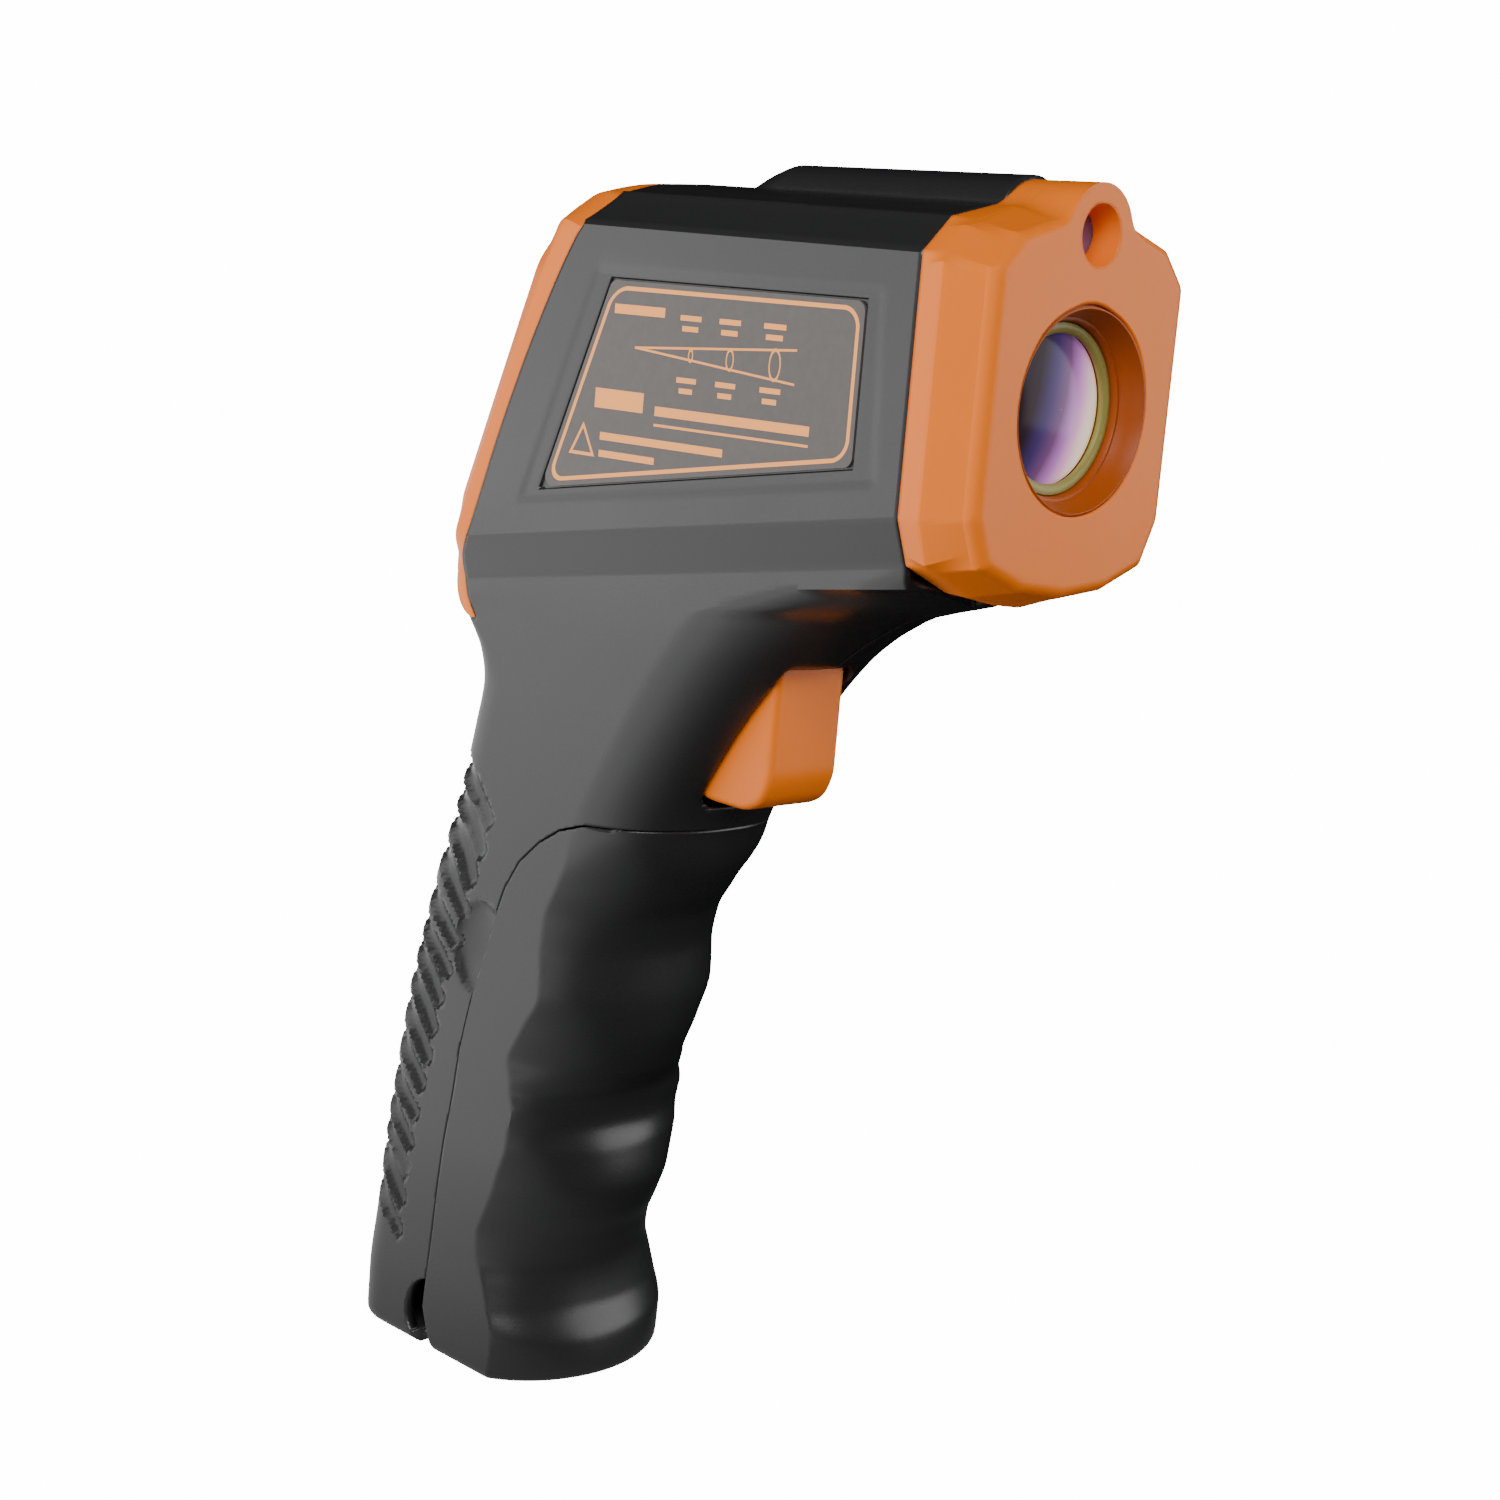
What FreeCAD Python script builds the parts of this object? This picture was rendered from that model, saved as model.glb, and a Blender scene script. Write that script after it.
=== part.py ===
import FreeCAD, Part

import math
import os

import Sketcher
from FreeCAD import Placement, Rotation, Vector

# Infrared thermometer, pistol form: nose forward along -Y, handle down along -Z.
# Everything is drawn on the optical axis: x = 0 is the split between the housing halves,
# y = 0 is the front face of the nose and z = 0 is the lens axis. Each finished sub-part is
# then placed so that the origin lies under the middle of the object, at its lowest level.

DIMENSIONS = {
    "originBack": 49.13, "originDown": 132.0,
    "wallThick": 2.2, "seamGap": 0.4, "labelThick": 0.35, "labelRecess": 0.5, "labelMargin": 0.35,
    "noseJoint": 9.6, "headBack": 92.0, "creaseFall": 0.152, "ridgeRadius": 5.4, "ridgeAxis": 19.2, "ridgeBack": 47.0,
    "barrelRadius": 9.6, "barrelBore": 7.3, "barrelFront": 6.8, "barrelBack": 33.0,
    "lensMouth": 10.8, "lensSeat": 9.4, "mouthDeep": 3.4, "lensRadius": 8.4, "lensEdge": 1.2, "lensRise": 1.6,
    "lensFront": 4.6, "ringInner": 7.7, "ringThick": 1.1,
    "sensorRadius": 4.6, "sensorLong": 6.4, "sensorBoardSide": 18.0, "boardThick": 1.6,
    "laserAxis": 18.6, "laserMouth": 3.3, "laserSeat": 2.5, "laserRadius": 3.0, "laserFront": 4.4, "laserLong": 15.0,
    "rearBack": 77.6, "rearDown": 2.2, "rearTilt": 21.0,
    "windowWide": 21.0, "windowTall": 18.0, "windowUp": 5.6, "windowThick": 1.4,
    "lcdWide": 21.6, "lcdTall": 19.6, "lcdThick": 2.4, "backlightThick": 1.4,
    "boardWide": 28.6, "boardTall": 36.0, "boardUp": -1.0, "boardDeep": 9.0,
    "keyPitch": 8.6, "keyUp": -11.0, "keyWide": 6.4, "keyTall": 5.0, "keyGap": 0.35,
    "triggerHalf": 5.9, "triggerFace": 35.6, "triggerFoot": 51.2, "pivotBack": 40.5, "pivotDown": 26.6,
    "pivotRadius": 1.5, "pivotHalf": 13.4, "runningGap": 0.05, "springRadius": 2.7, "springWire": 0.6,
    "switchBack": 54.6, "switchDown": 43.0, "cellRadius": 5.2, "cellLong": 44.0, "cellBack": 70.6, "cellDown": 93.0,
    "cellLean": 10.0, "cellPitch": 10.8, "hingeBack": 80.5, "hingeDown": 127.5, "hingeRadius": 1.2, "hingeHalf": 11.9,
    "bossRadius": 3.0, "screwRadius": 1.25, "screwHead": 2.3,
}

# (level below the axis, distance back): front line, back line and half width of the grip,
# and how deep its rounded front runs.
FRONT_LINE = ((-14, -40), (-19, -9), (-22.2, 9.9), (-23.6, 14.2), (-25.5, 20.7), (-29.4, 27.5),
              (-33, 32.0), (-40.5, 38.5), (-50.5, 44.8), (-55.5, 47.8), (-60.5, 49.5), (-65, 52.0),
              (-69, 54.3), (-74, 55.2), (-79, 55.3), (-84, 56.3), (-89.7, 58.4), (-93.6, 59.7),
              (-97, 59.8), (-101, 59.4), (-105.4, 59.6), (-109.4, 61.0), (-113.4, 62.5),
              (-117.9, 62.9), (-122.5, 61.8), (-126.9, 59.8), (-132, 58.6))
BACK_LINE = ((-14, 78), (-28, 84.0), (-34, 84.4), (-37.5, 82.6), (-41, 82.2), (-47.3, 83.3),
             (-55.2, 85.2), (-72, 90.4), (-88.7, 94.0), (-101.5, 95.9), (-115, 97.3), (-125, 98.2), (-132, 98.3))
SIDE_LINE = ((-14, 16.6), (-22, 16.1), (-30, 15.5), (-40, 15.1), (-60, 15.0), (-132, 15.0))
ROUND_LINE = ((-14, 38), (-19, 32), (-22.2, 26), (-25.5, 20), (-29.4, 16), (-33, 14), (-45, 12.5),
              (-60, 12.0), (-72, 12.5), (-84, 11), (-95, 12.5), (-103, 11), (-117, 13), (-132, 12.5))
RING_LEVELS = (-17, -20, -22.5, -25, -28, -31, -35, -40, -45, -50, -55, -60, -64, -68, -72, -76, -80,
               -84, -88, -92, -96, -100, -104, -108, -112, -116, -120, -124, -128, -132)

# Corners of the label panel on the side of the head: (distance back, height).
LABEL_CORNERS = ((56.8, 9.7), (16.9, 9.7), (16.9, -7.9), (66.9, -15.6))
# Screw bosses between the two halves: (distance back, height).
BOSSES = ((16.0, -15.0), (45.0, 12.5), (66.0, -38.0), (76.5, -55.0), (89.5, -114.0))
# Half sections of the head at its two ends, as (half width, height) from the crown to the keel.
HEAD_FRONT = ((0, 21.3), (7, 20.8), (13.6, 19.0), (17.5, 15.3), (17.5, -12.5), (15.4, -17.6), (8.5, -20.6),
              (0, -22.2))
# Half sections of the nose: distance back, then (half width, height) pairs in the same order.
NOSE = ((0, ((0, 19.3), (6.5, 18.6), (11.5, 16.9), (14.9, 13.6), (14.9, -11.4), (12.8, -15.9), (6.9, -18.1),
             (0, -18.8))),
        (1.6, ((0, 20.4), (7.2, 19.7), (13, 18.0), (16.5, 14.2), (16.5, -11.8), (14.2, -17.0), (7.4, -19.6),
               (0, -20.4))),
        (6.0, ((0, 21.4), (7.6, 20.8), (15, 18.3), (18.4, 14.4), (18.4, -12.3), (16.7, -17.1), (8.5, -20.7),
               (0, -22))),
        (9.6, HEAD_FRONT))
# Side view lines as (distance back, height): the head's rear outline, the seam in front of the
# rear bezel, and the battery door's parting line.
REAR_LINE = ((9.6, 30), (60.7, 30), (60.7, 21.6), (63.5, 19.6), (66.6, 18.3), (69.3, 16.6), (71.1, 14.7), (84.1, -19.1),
             (84.6, -22.1), (84.6, -25), (84.1, -27.9), (83, -30.7), (81.2, -33.0), (77, -34), (9.6, -34))
BEZEL_LINE = ((60.3, 30), (60.6, 19.0), (62.0, 16.3), (69.4, 3.8), (75.1, -9.4), (80.2, -23.2), (82.3, -25.6),
              (81.8, -30.0), (80.0, -34.5), (100, -34.5), (100, 30))
DOOR_LINE = ((57.4, -56.0), (61.6, -57.4), (65.1, -59.6), (68.6, -62.8), (71.1, -66.7), (72.7, -70.8), (75.2, -79.1),
             (77.8, -89.8), (79.6, -102.5), (80.6, -111.1), (81.5, -121.0), (81.9, -126.5), (80.6, -130.0), (78.3, -134))
INNER_REAR = ((8, 30), (57, 30), (58.5, 19.4), (62.3, 17.3), (65.2, 16.0), (67.4, 14.9), (68.86, 13.84), (81.86, -19.96),
              (82.1, -22.1), (82.1, -25), (81.7, -27.4), (81, -29.6), (79.6, -31.6), (77, -34), (8, -34))

doc = FreeCAD.newDocument("InfraredThermometer")
sheet = doc.addObject("Spreadsheet::Sheet", "Dimensions")
for row, (alias, size) in enumerate(DIMENSIONS.items(), start=1):
    sheet.set("A%d" % row, alias)
    sheet.set("B%d" % row, str(size))
    sheet.setAlias("B%d" % row, alias)
doc.recompute()

parts = []


def size(alias):
    """The value of one cell of the sheet."""
    return float(sheet.get(alias))


def cells(expression):
    """The same expression with every dimension's name led by the sheet's."""
    words = []
    word = ""
    for letter in expression + " ":
        if letter.isalnum():
            word += letter
            continue
        words.append("Dimensions." + word if word in DIMENSIONS else word)
        words.append(letter)
        word = ""
    return "".join(words).strip()


def number(expression):
    """What an expression of dimensions comes to."""
    return float(sheet.evalExpression(cells(str(expression))))


def bind(thing, prop, expression):
    thing.setExpression(prop, cells(str(expression)))


def place(thing, at, turn=None):
    """Places a helper solid; each coordinate is an expression of dimensions."""
    if turn:
        thing.Placement = Placement(Vector(), turn)
    for axis, expression in zip("xyz", at):
        bind(thing, "Placement.Base." + axis, expression)
    return thing


def box(name, sides, at, turn=None):
    made = doc.addObject("Part::Box", name)
    for prop, expression in zip(("Length", "Width", "Height"), sides):
        bind(made, prop, expression)
    return place(made, at, turn)


AXIS_X = Rotation(Vector(0, 1, 0), 90)
AXIS_Y = Rotation(Vector(1, 0, 0), -90)
UPRIGHT = Rotation()


def rod(name, radius, length, at, turn=UPRIGHT):
    made = doc.addObject("Part::Cylinder", name)
    bind(made, "Radius", radius)
    bind(made, "Height", length)
    return place(made, at, turn)


def cut(name, base, tool):
    made = doc.addObject("Part::Cut", name)
    made.Base = base
    made.Tool = tool
    return made


def common(name, one, other):
    made = doc.addObject("Part::Common", name)
    made.Base = one
    made.Tool = other
    return made


def fuse(name, *things):
    made = doc.addObject("Part::MultiFuse", name)
    made.Shapes = list(things)
    return made


def group(name, *things):
    made = doc.addObject("Part::Compound", name)
    made.Links = list(things)
    return made


def shaped(name, shape):
    made = doc.addObject("Part::Feature", name)
    made.Shape = shape
    return made


ON_AXIS = Placement(Vector(0, -size("originBack"), size("originDown")), Rotation())
lean = math.radians(size("rearTilt"))
REAR_FACE = ON_AXIS.multiply(Placement(
    Vector(0, size("rearBack"), -size("rearDown")),
    Rotation(Vector(-1, 0, 0), Vector(0, -math.sin(lean), math.cos(lean)),
             Vector(0, math.cos(lean), math.sin(lean)), "ZXY")))
CELL_AXIS = ON_AXIS.multiply(Placement(
    Vector(0, size("cellBack"), -size("cellDown")), Rotation(Vector(1, 0, 0), size("cellLean"))))


def finished(thing, label, where=ON_AXIS):
    """Names a finished sub-part, puts it in its place and lists it for export."""
    doc.recompute()
    thing.Label = label
    for coordinate in "xyz":
        thing.setExpression("Placement.Base." + coordinate, None)
    thing.Placement = where.multiply(thing.Placement)
    parts.append(thing)
    return thing


# ---- Part Design helpers ----

def new_body(name):
    return doc.addObject("PartDesign::Body", name)


def sketch_on(body, role, name, offset="0"):
    made = body.newObject("Sketcher::SketchObject", name)
    plane = [feature for feature in body.Origin.OriginFeatures if feature.Role == role][0]
    made.AttachmentSupport = [(plane, "")]
    made.MapMode = "FlatFace"
    bind(made, "AttachmentOffset.Base.z", offset)
    return made


def fix(sketch, kind, geometry, point, expression):
    made = sketch.addConstraint(Sketcher.Constraint(kind, geometry, point, number(expression)))
    bind(sketch, "Constraints[%d]" % made, expression)


def outline(sketch, corners):
    """A closed run of straight lines; each corner is a pair of expressions."""
    first = sketch.GeometryCount
    spots = [Vector(number(across), number(up), 0) for across, up in corners]
    count = len(spots)
    for step in range(count):
        sketch.addGeometry(Part.LineSegment(spots[step], spots[(step + 1) % count]), False)
    for step in range(count):
        sketch.addConstraint(Sketcher.Constraint("Coincident", first + step, 2, first + (step + 1) % count, 1))
    for step, (across, up) in enumerate(corners):
        fix(sketch, "DistanceX", first + step, 1, across)
        fix(sketch, "DistanceY", first + step, 1, up)


def circle(sketch, radius, across="0", up="0"):
    made = sketch.addGeometry(Part.Circle(Vector(number(across), number(up), 0), Vector(0, 0, 1), number(radius)), False)
    radial = sketch.addConstraint(Sketcher.Constraint("Radius", made, number(radius)))
    bind(sketch, "Constraints[%d]" % radial, radius)
    fix(sketch, "DistanceX", made, 3, across)
    fix(sketch, "DistanceY", made, 3, up)


def feature(body, kind, name, sketch, **settings):
    made = body.newObject("PartDesign::" + kind, name)
    made.Profile = sketch
    for prop, value in settings.items():
        if isinstance(value, str) and prop in ("Length", "Length2", "Angle", "Radius", "Size"):
            bind(made, prop, value)
        else:
            setattr(made, prop, value)
    doc.recompute()
    return made


def turned(name, corners, role="XZ_Plane", offset="0", axis="V_Axis"):
    """A body of revolution about its sketch's upright axis."""
    body = new_body(name)
    profile = sketch_on(body, role, name + "Profile", offset)
    outline(profile, corners)
    made = body.newObject("PartDesign::Revolution", name + "Turn")
    made.Profile = profile
    made.ReferenceAxis = (profile, [axis])
    made.Angle = 360
    doc.recompute()
    return body


# ---- Nose: lens, ring, barrel, sensor and laser ----

def revolved(label, corners, where=ON_AXIS):
    """A turned part on the lens axis; corners are (radius, distance back)."""
    return finished(turned(label, corners, "XY_Plane"), label, where)


revolved("lens", (("0", "lensFront - lensRise"), ("0.5*lensRadius", "lensFront - 0.75*lensRise"),
                  ("0.85*lensRadius", "lensFront - 0.3*lensRise"), ("lensRadius", "lensFront + 0.05"),
                  ("lensRadius", "lensFront + lensEdge"), ("0", "lensFront + lensEdge")))
revolved("lens_ring", (("ringInner", "mouthDeep"), ("lensSeat - 0.02", "mouthDeep"), ("lensSeat - 0.02", "mouthDeep + ringThick"),
                       ("ringInner + 0.35", "mouthDeep + ringThick")))
revolved("optic_barrel", (("ringInner", "lensFront + lensEdge + 0.05"), ("lensSeat - 0.05", "lensFront + lensEdge + 0.05"),
                          ("lensSeat - 0.05", "barrelFront"), ("barrelRadius", "barrelFront"), ("barrelRadius", "barrelBack - 8"),
                          ("sensorRadius + 2.2", "barrelBack"), ("sensorRadius + 0.1", "barrelBack"),
                          ("sensorRadius + 0.1", "barrelBack - 4"), ("barrelBore", "barrelBack - 11"),
                          ("barrelBore", "barrelFront + 3")))
revolved("thermopile_sensor", (("1.6", "barrelBack - 3.4"), ("sensorRadius", "barrelBack - 3.4"),
                               ("sensorRadius", "barrelBack + 0.1"), ("sensorRadius + 0.6", "barrelBack + 0.1"),
                               ("sensorRadius + 0.6", "barrelBack + 0.9"), ("0", "barrelBack + 0.9"),
                               ("0", "barrelBack - 2.9"), ("1.6", "barrelBack - 2.9")))
LASER_AXIS = ON_AXIS.multiply(Placement(Vector(0, 0, size("laserAxis")), Rotation()))
revolved("laser_window", (("0", "3.1"), ("laserSeat - 0.05", "3.1"), ("laserSeat - 0.05", "4.1"), ("0", "4.1")), LASER_AXIS)
revolved("laser_module", (("1.2", "laserFront"), ("laserRadius - 0.4", "laserFront"), ("laserRadius", "laserFront + 0.4"),
                          ("laserRadius", "laserFront + laserLong"), ("2.2", "laserFront + laserLong"),
                          ("2.2", "laserFront + laserLong + 1.2"), ("0", "laserFront + laserLong + 1.2"),
                          ("0", "laserFront + 3"), ("1.2", "laserFront + 2")), LASER_AXIS)


def plate(label, wide, tall, thick, across, up, deep, holes=(), corner="0", where=REAR_FACE, ends=()):
    """A flat plate parallel to a face: deep is how far its outer side lies below the face."""
    body = new_body(label)
    face = sketch_on(body, "XY_Plane", label + "Outline", "-(%s) - (%s)" % (deep, thick))
    left, right = "%s - (%s)/2" % (across, wide), "%s + (%s)/2" % (across, wide)
    low, high = "%s - (%s)/2" % (up, tall), "%s + (%s)/2" % (up, tall)
    outline(face, ((left, low), (right, low), (right, high), (left, high)))
    for radius, at, level in holes:
        circle(face, radius, at, level)
    for wide_in, tall_in, at, level in ends:
        outline(face, (("%s - (%s)/2" % (at, wide_in), "%s - (%s)/2" % (level, tall_in)),
                       ("%s + (%s)/2" % (at, wide_in), "%s - (%s)/2" % (level, tall_in)),
                       ("%s + (%s)/2" % (at, wide_in), "%s + (%s)/2" % (level, tall_in)),
                       ("%s - (%s)/2" % (at, wide_in), "%s + (%s)/2" % (level, tall_in))))
    pad = feature(body, "Pad", label + "Pad", face, Length=thick)
    if corner != "0":
        upright = [("Edge%d" % (step + 1)) for step, edge in enumerate(pad.Shape.Edges)
                   if abs(edge.Length - number(thick)) < 1e-6 and len(edge.Vertexes) == 2
                   and abs(abs(edge.tangentAt(edge.FirstParameter).z) - 1) < 1e-6]
        rounding = body.newObject("PartDesign::Fillet", label + "Corners")
        rounding.Base = (pad, upright[:4] if not ends else upright)
        bind(rounding, "Radius", corner)
    return finished(body, label, where)


SENSOR_FACE = ON_AXIS.multiply(Placement(Vector(0, size("barrelBack") + 0.95, 0), Rotation(Vector(1, 0, 0), 90)))
plate("sensor_board", "sensorBoardSide", "sensorBoardSide", "boardThick", "0", "0", "0", (), "2", SENSOR_FACE)

# ---- Rear: window, display, keys and board ----

plate("display_window", "windowWide - 0.1", "windowTall - 0.1", "windowThick", "0", "windowUp", "0.25", (), "1.6")
plate("lcd_module", "lcdWide - 1.6", "lcdTall - 1.6", "lcdThick", "0", "windowUp", "2.6", (), "0.4")
plate("backlight", "lcdWide - 2", "lcdTall - 2", "backlightThick", "0", "windowUp", "5.05", (), "0.4")
plate("lcd_frame", "lcdWide + 0.8", "lcdTall + 0.8", "4.6", "0", "windowUp", "2.6", (), "0",
      REAR_FACE, (("lcdWide - 1.4", "lcdTall - 1.4", "0", "windowUp"),))
mount_holes = [("1.1", "%d*(boardWide/2 - 1.5)" % turn, "boardUp + %d*(boardTall/2 - 2.4)" % end)
               for turn in (-1, 1) for end in (-1, 1)]
plate("main_board", "boardWide", "boardTall", "boardThick", "0", "boardUp", "boardDeep", mount_holes, "1.5")


def keyed(name, across):
    """A key: a cap through the bezel on a wider flange that holds it in."""
    body = new_body(name)
    cap = sketch_on(body, "XY_Plane", name + "Cap", "-3")
    outline(cap, (("%s - keyWide/2" % across, "keyUp - keyTall/2"), ("%s + keyWide/2" % across, "keyUp - keyTall/2"),
                  ("%s + keyWide/2" % across, "keyUp + keyTall/2"), ("%s - keyWide/2" % across, "keyUp + keyTall/2")))
    pad = feature(body, "Pad", name + "Top", cap, Length="3.7")
    corners = ["Edge%d" % (step + 1) for step, edge in enumerate(pad.Shape.Edges) if abs(edge.Length - 3.7) < 1e-6]
    rounding = body.newObject("PartDesign::Fillet", name + "Round")
    rounding.Base = (pad, corners)
    rounding.Radius = 1.4
    doc.recompute()
    flange = sketch_on(body, "XY_Plane", name + "Flange", "-3.4")
    outline(flange, (("%s - keyWide/2 - 0.8" % across, "keyUp - keyTall/2 - 0.8"),
                     ("%s + keyWide/2 + 0.8" % across, "keyUp - keyTall/2 - 0.8"),
                     ("%s + keyWide/2 + 0.8" % across, "keyUp + keyTall/2 + 0.8"),
                     ("%s - keyWide/2 - 0.8" % across, "keyUp + keyTall/2 + 0.8")))
    feature(body, "Pad", name + "Foot", flange, Length="0.6")
    return finished(body, name, REAR_FACE)


for key_name, key_step in (("key_down", -1), ("key_mode", 0), ("key_up", 1)):
    keyed(key_name, "%d*keyPitch" % -key_step)

pad_domes = [box("Dome%d" % step, ("4", "3.2", "2"), ("%d*keyPitch - 2" % (step - 1), "keyUp - 1.6", "-6.4"))
             for step in range(3)]
pad_sheet = box("KeypadSheet", ("3*keyPitch - 1", "keyTall + 2.6", "0.8"),
                ("-1.5*keyPitch + 0.5", "keyUp - keyTall/2 - 1.3", "-7.1"))
pad_legs = [box("KeypadLeg%d" % step, ("0.9", "keyTall + 2.6", "1.9"), ("%s" % at, "keyUp - keyTall/2 - 1.3", "-9"))
            for step, at in enumerate(("-1.5*keyPitch + 0.5", "1.5*keyPitch - 1.4"))]
finished(fuse("Keypad", pad_sheet, *(pad_domes + pad_legs)), "keypad", REAR_FACE)

chips = [("Controller", "9", "9", "1.4", "-4.5", "-2"), ("Amplifier", "4", "5", "1.2", "7", "6"),
         ("Memory", "4", "5", "1.2", "-11", "7"), ("Regulator", "3.4", "3", "1.3", "6", "-14"),
         ("Crystal", "3.2", "6.4", "2.2", "8", "-8")]
finished(group("Chips", *[box(name, (wide, tall, thick), (across, up, "-boardDeep - boardThick - %s" % thick))
                          for name, wide, tall, thick, across, up in chips]), "board_chips", REAR_FACE)
board_screws = []
for step, (radius, across, up) in enumerate(mount_holes):
    shank = rod("BoardShank%d" % step, "0.9", "4.8", (across, up, "-boardDeep - boardThick - 1"))
    head = rod("BoardHead%d" % step, "1.45", "1", (across, up, "-boardDeep - boardThick - 1"))
    board_screws.append(fuse("BoardScrew%d" % step, shank, head))
finished(group("BoardScrews", *board_screws), "board_screws", REAR_FACE)
finished(rod("Buzzer", "5.5", "3.4", ("-5.2", "boardUp - 8", "-boardDeep - boardThick - 3.5")), "buzzer", REAR_FACE)

# ---- Trigger, its pin, spring and switch ----

trigger_body = new_body("Trigger")
side = sketch_on(trigger_body, "YZ_Plane", "TriggerSide")
outline(side, (("pivotBack - 3.4", "-pivotDown + 1.8"), ("pivotBack + 3.4", "-pivotDown + 1.8"),
               ("pivotBack + 5", "-pivotDown - 8"), ("50", "-40"), ("50", "-48"), ("46.5", "-triggerFoot + 0.2"),
               ("39", "-triggerFoot"), ("triggerFace + 0.8", "-triggerFoot + 1.5"), ("triggerFace", "-triggerFoot + 4"),
               ("triggerFace", "-33"), ("triggerFace + 0.6", "-30.5")))
slab = trigger_body.newObject("PartDesign::Pad", "TriggerSlab")
slab.Profile = side
slab.SideType = "Symmetric"
bind(slab, "Length", "2*triggerHalf")
doc.recompute()
front_edges = []
for step, edge in enumerate(slab.Shape.Edges):
    middle = edge.CenterOfMass
    if abs(abs(middle.x) - size("triggerHalf")) < 1e-6 and middle.z < -32 and middle.y < 44:
        front_edges.append("Edge%d" % (step + 1))
softened = trigger_body.newObject("PartDesign::Fillet", "TriggerSoft")
softened.Base = (slab, front_edges)
softened.Radius = 0.9
doc.recompute()
bore = sketch_on(trigger_body, "YZ_Plane", "TriggerBore")
circle(bore, "pivotRadius + runningGap", "pivotBack", "-pivotDown")
through = trigger_body.newObject("PartDesign::Pocket", "TriggerHole")
through.Profile = bore
through.Type = "ThroughAll"
through.SideType = "Symmetric"
doc.recompute()
fork = sketch_on(trigger_body, "YZ_Plane", "TriggerFork")
outline(fork, (("30", "-31"), ("60", "-31"), ("60", "-20"), ("30", "-20")))
forked = trigger_body.newObject("PartDesign::Pocket", "TriggerForked")
forked.Profile = fork
forked.SideType = "Symmetric"
forked.Length = 7
doc.recompute()
finished(trigger_body, "trigger")


def pin(label, radius, half, away, high):
    body = new_body(label)
    disc = sketch_on(body, "YZ_Plane", label + "Disc")
    circle(disc, radius, away, high)
    made = body.newObject("PartDesign::Pad", label + "Rod")
    made.Profile = disc
    made.SideType = "Symmetric"
    bind(made, "Length", "2*(%s)" % half)
    doc.recompute()
    return finished(body, label)


pin("trigger_pin", "pivotRadius", "pivotHalf - 0.1", "pivotBack", "-pivotDown")
pin("hinge_pin", "hingeRadius", "hingeHalf", "hingeBack", "-hingeDown")

coil_radius = size("springRadius")
wire_radius = size("springWire") / 2
path = []
for step in range(97):
    angle = 2 * math.pi * step / 24
    path.append(Vector(-2.2 + 4.4 * step / 96, size("pivotBack") + coil_radius * math.cos(angle),
                       -size("pivotDown") + coil_radius * math.sin(angle)))
coil = Part.BSplineCurve()
coil.interpolate(path)
sweep_start = Part.Wire(Part.Circle(path[0], coil.tangent(0)[0], wire_radius).toShape())
coil_wire = Part.Wire(coil.toShape())
finished(shaped("TriggerSpring", coil_wire.makePipeShell([sweep_start], True, True)), "trigger_spring")

switch_case = box("SwitchCase", ("6.4", "5.6", "6.4"), ("-3.2", "switchBack", "-switchDown - 3.2"))
switch_board = box("SwitchBoard", ("16", "1.6", "14"), ("-8", "switchBack + 5.6", "-switchDown - 7"))
switch_hole = rod("SwitchHole", "1.55", "3.6", ("0", "switchBack", "-switchDown"), AXIS_Y)
finished(cut("TriggerSwitch", fuse("SwitchWhole", switch_case, switch_board), switch_hole), "trigger_switch")
finished(rod("SwitchPlunger", "1.5", "4.6", ("0", "switchBack - 4.1", "-switchDown"), AXIS_Y), "switch_plunger")

# ---- Battery bay ----

cell_centre = "-cellLong/2"
for side_name, sign in (("battery_right", -1), ("battery_left", 1)):
    can = rod(side_name + "Can", "cellRadius", "cellLong - 1.2", ("%d*cellPitch/2" % sign, "0", cell_centre))
    tip = rod(side_name + "Tip", "1.9", "1.2", ("%d*cellPitch/2" % sign, "0", "cellLong/2 - 1.2"))
    finished(fuse(side_name + "Cell", can, tip), side_name, CELL_AXIS)
tray_block = box("TrayBlock", ("24", "8.6", "cellLong + 8"), ("-12", "-1.4", "-cellLong/2 - 5.4"))
tray_room = box("TrayRoom", ("21.8", "12", "cellLong + 5.6"), ("-10.9", "-6.4", "-cellLong/2 - 4.2"))
tray_bay = [rod("TrayBay%d" % turn, "cellRadius + 0.15", "cellLong + 5.6",
                ("%d*cellPitch/2" % (2 * turn - 1), "0", "-cellLong/2 - 4.2")) for turn in (0, 1)]
tray_shell = cut("TrayShell", tray_block, fuse("TrayHollow", tray_room, *tray_bay))
finished(tray_shell, "battery_tray", CELL_AXIS)
finished(group("ContactPlates", *[box("Contact%d" % turn, ("8", "7", "0.4"),
                                      ("%d*cellPitch/2 - 4" % (2 * turn - 1), "-3.5", "cellLong/2 + 0.05"))
                                  for turn in (0, 1)]), "contact_plates", CELL_AXIS)
coils = []
for turn in (-1, 1):
    spots = []
    for step in range(85):
        angle = 2 * math.pi * step / 24
        reach_out = 3.6 - 1.4 * step / 84
        spots.append(Vector(turn * size("cellPitch") / 2 + reach_out * math.cos(angle), reach_out * math.sin(angle),
                            -size("cellLong") / 2 - 3.75 + 3.3 * step / 84))
    spiral = Part.BSplineCurve()
    spiral.interpolate(spots)
    wire_end = Part.Wire(Part.Circle(spots[0], spiral.tangent(0)[0], 0.35).toShape())
    coils.append(shaped("BatteryCoil%d" % (turn + 1), Part.Wire(spiral.toShape()).makePipeShell([wire_end], True, True)))
finished(group("BatterySprings", *coils), "battery_springs", CELL_AXIS)

# ---- Leads and housing screws ----

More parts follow.
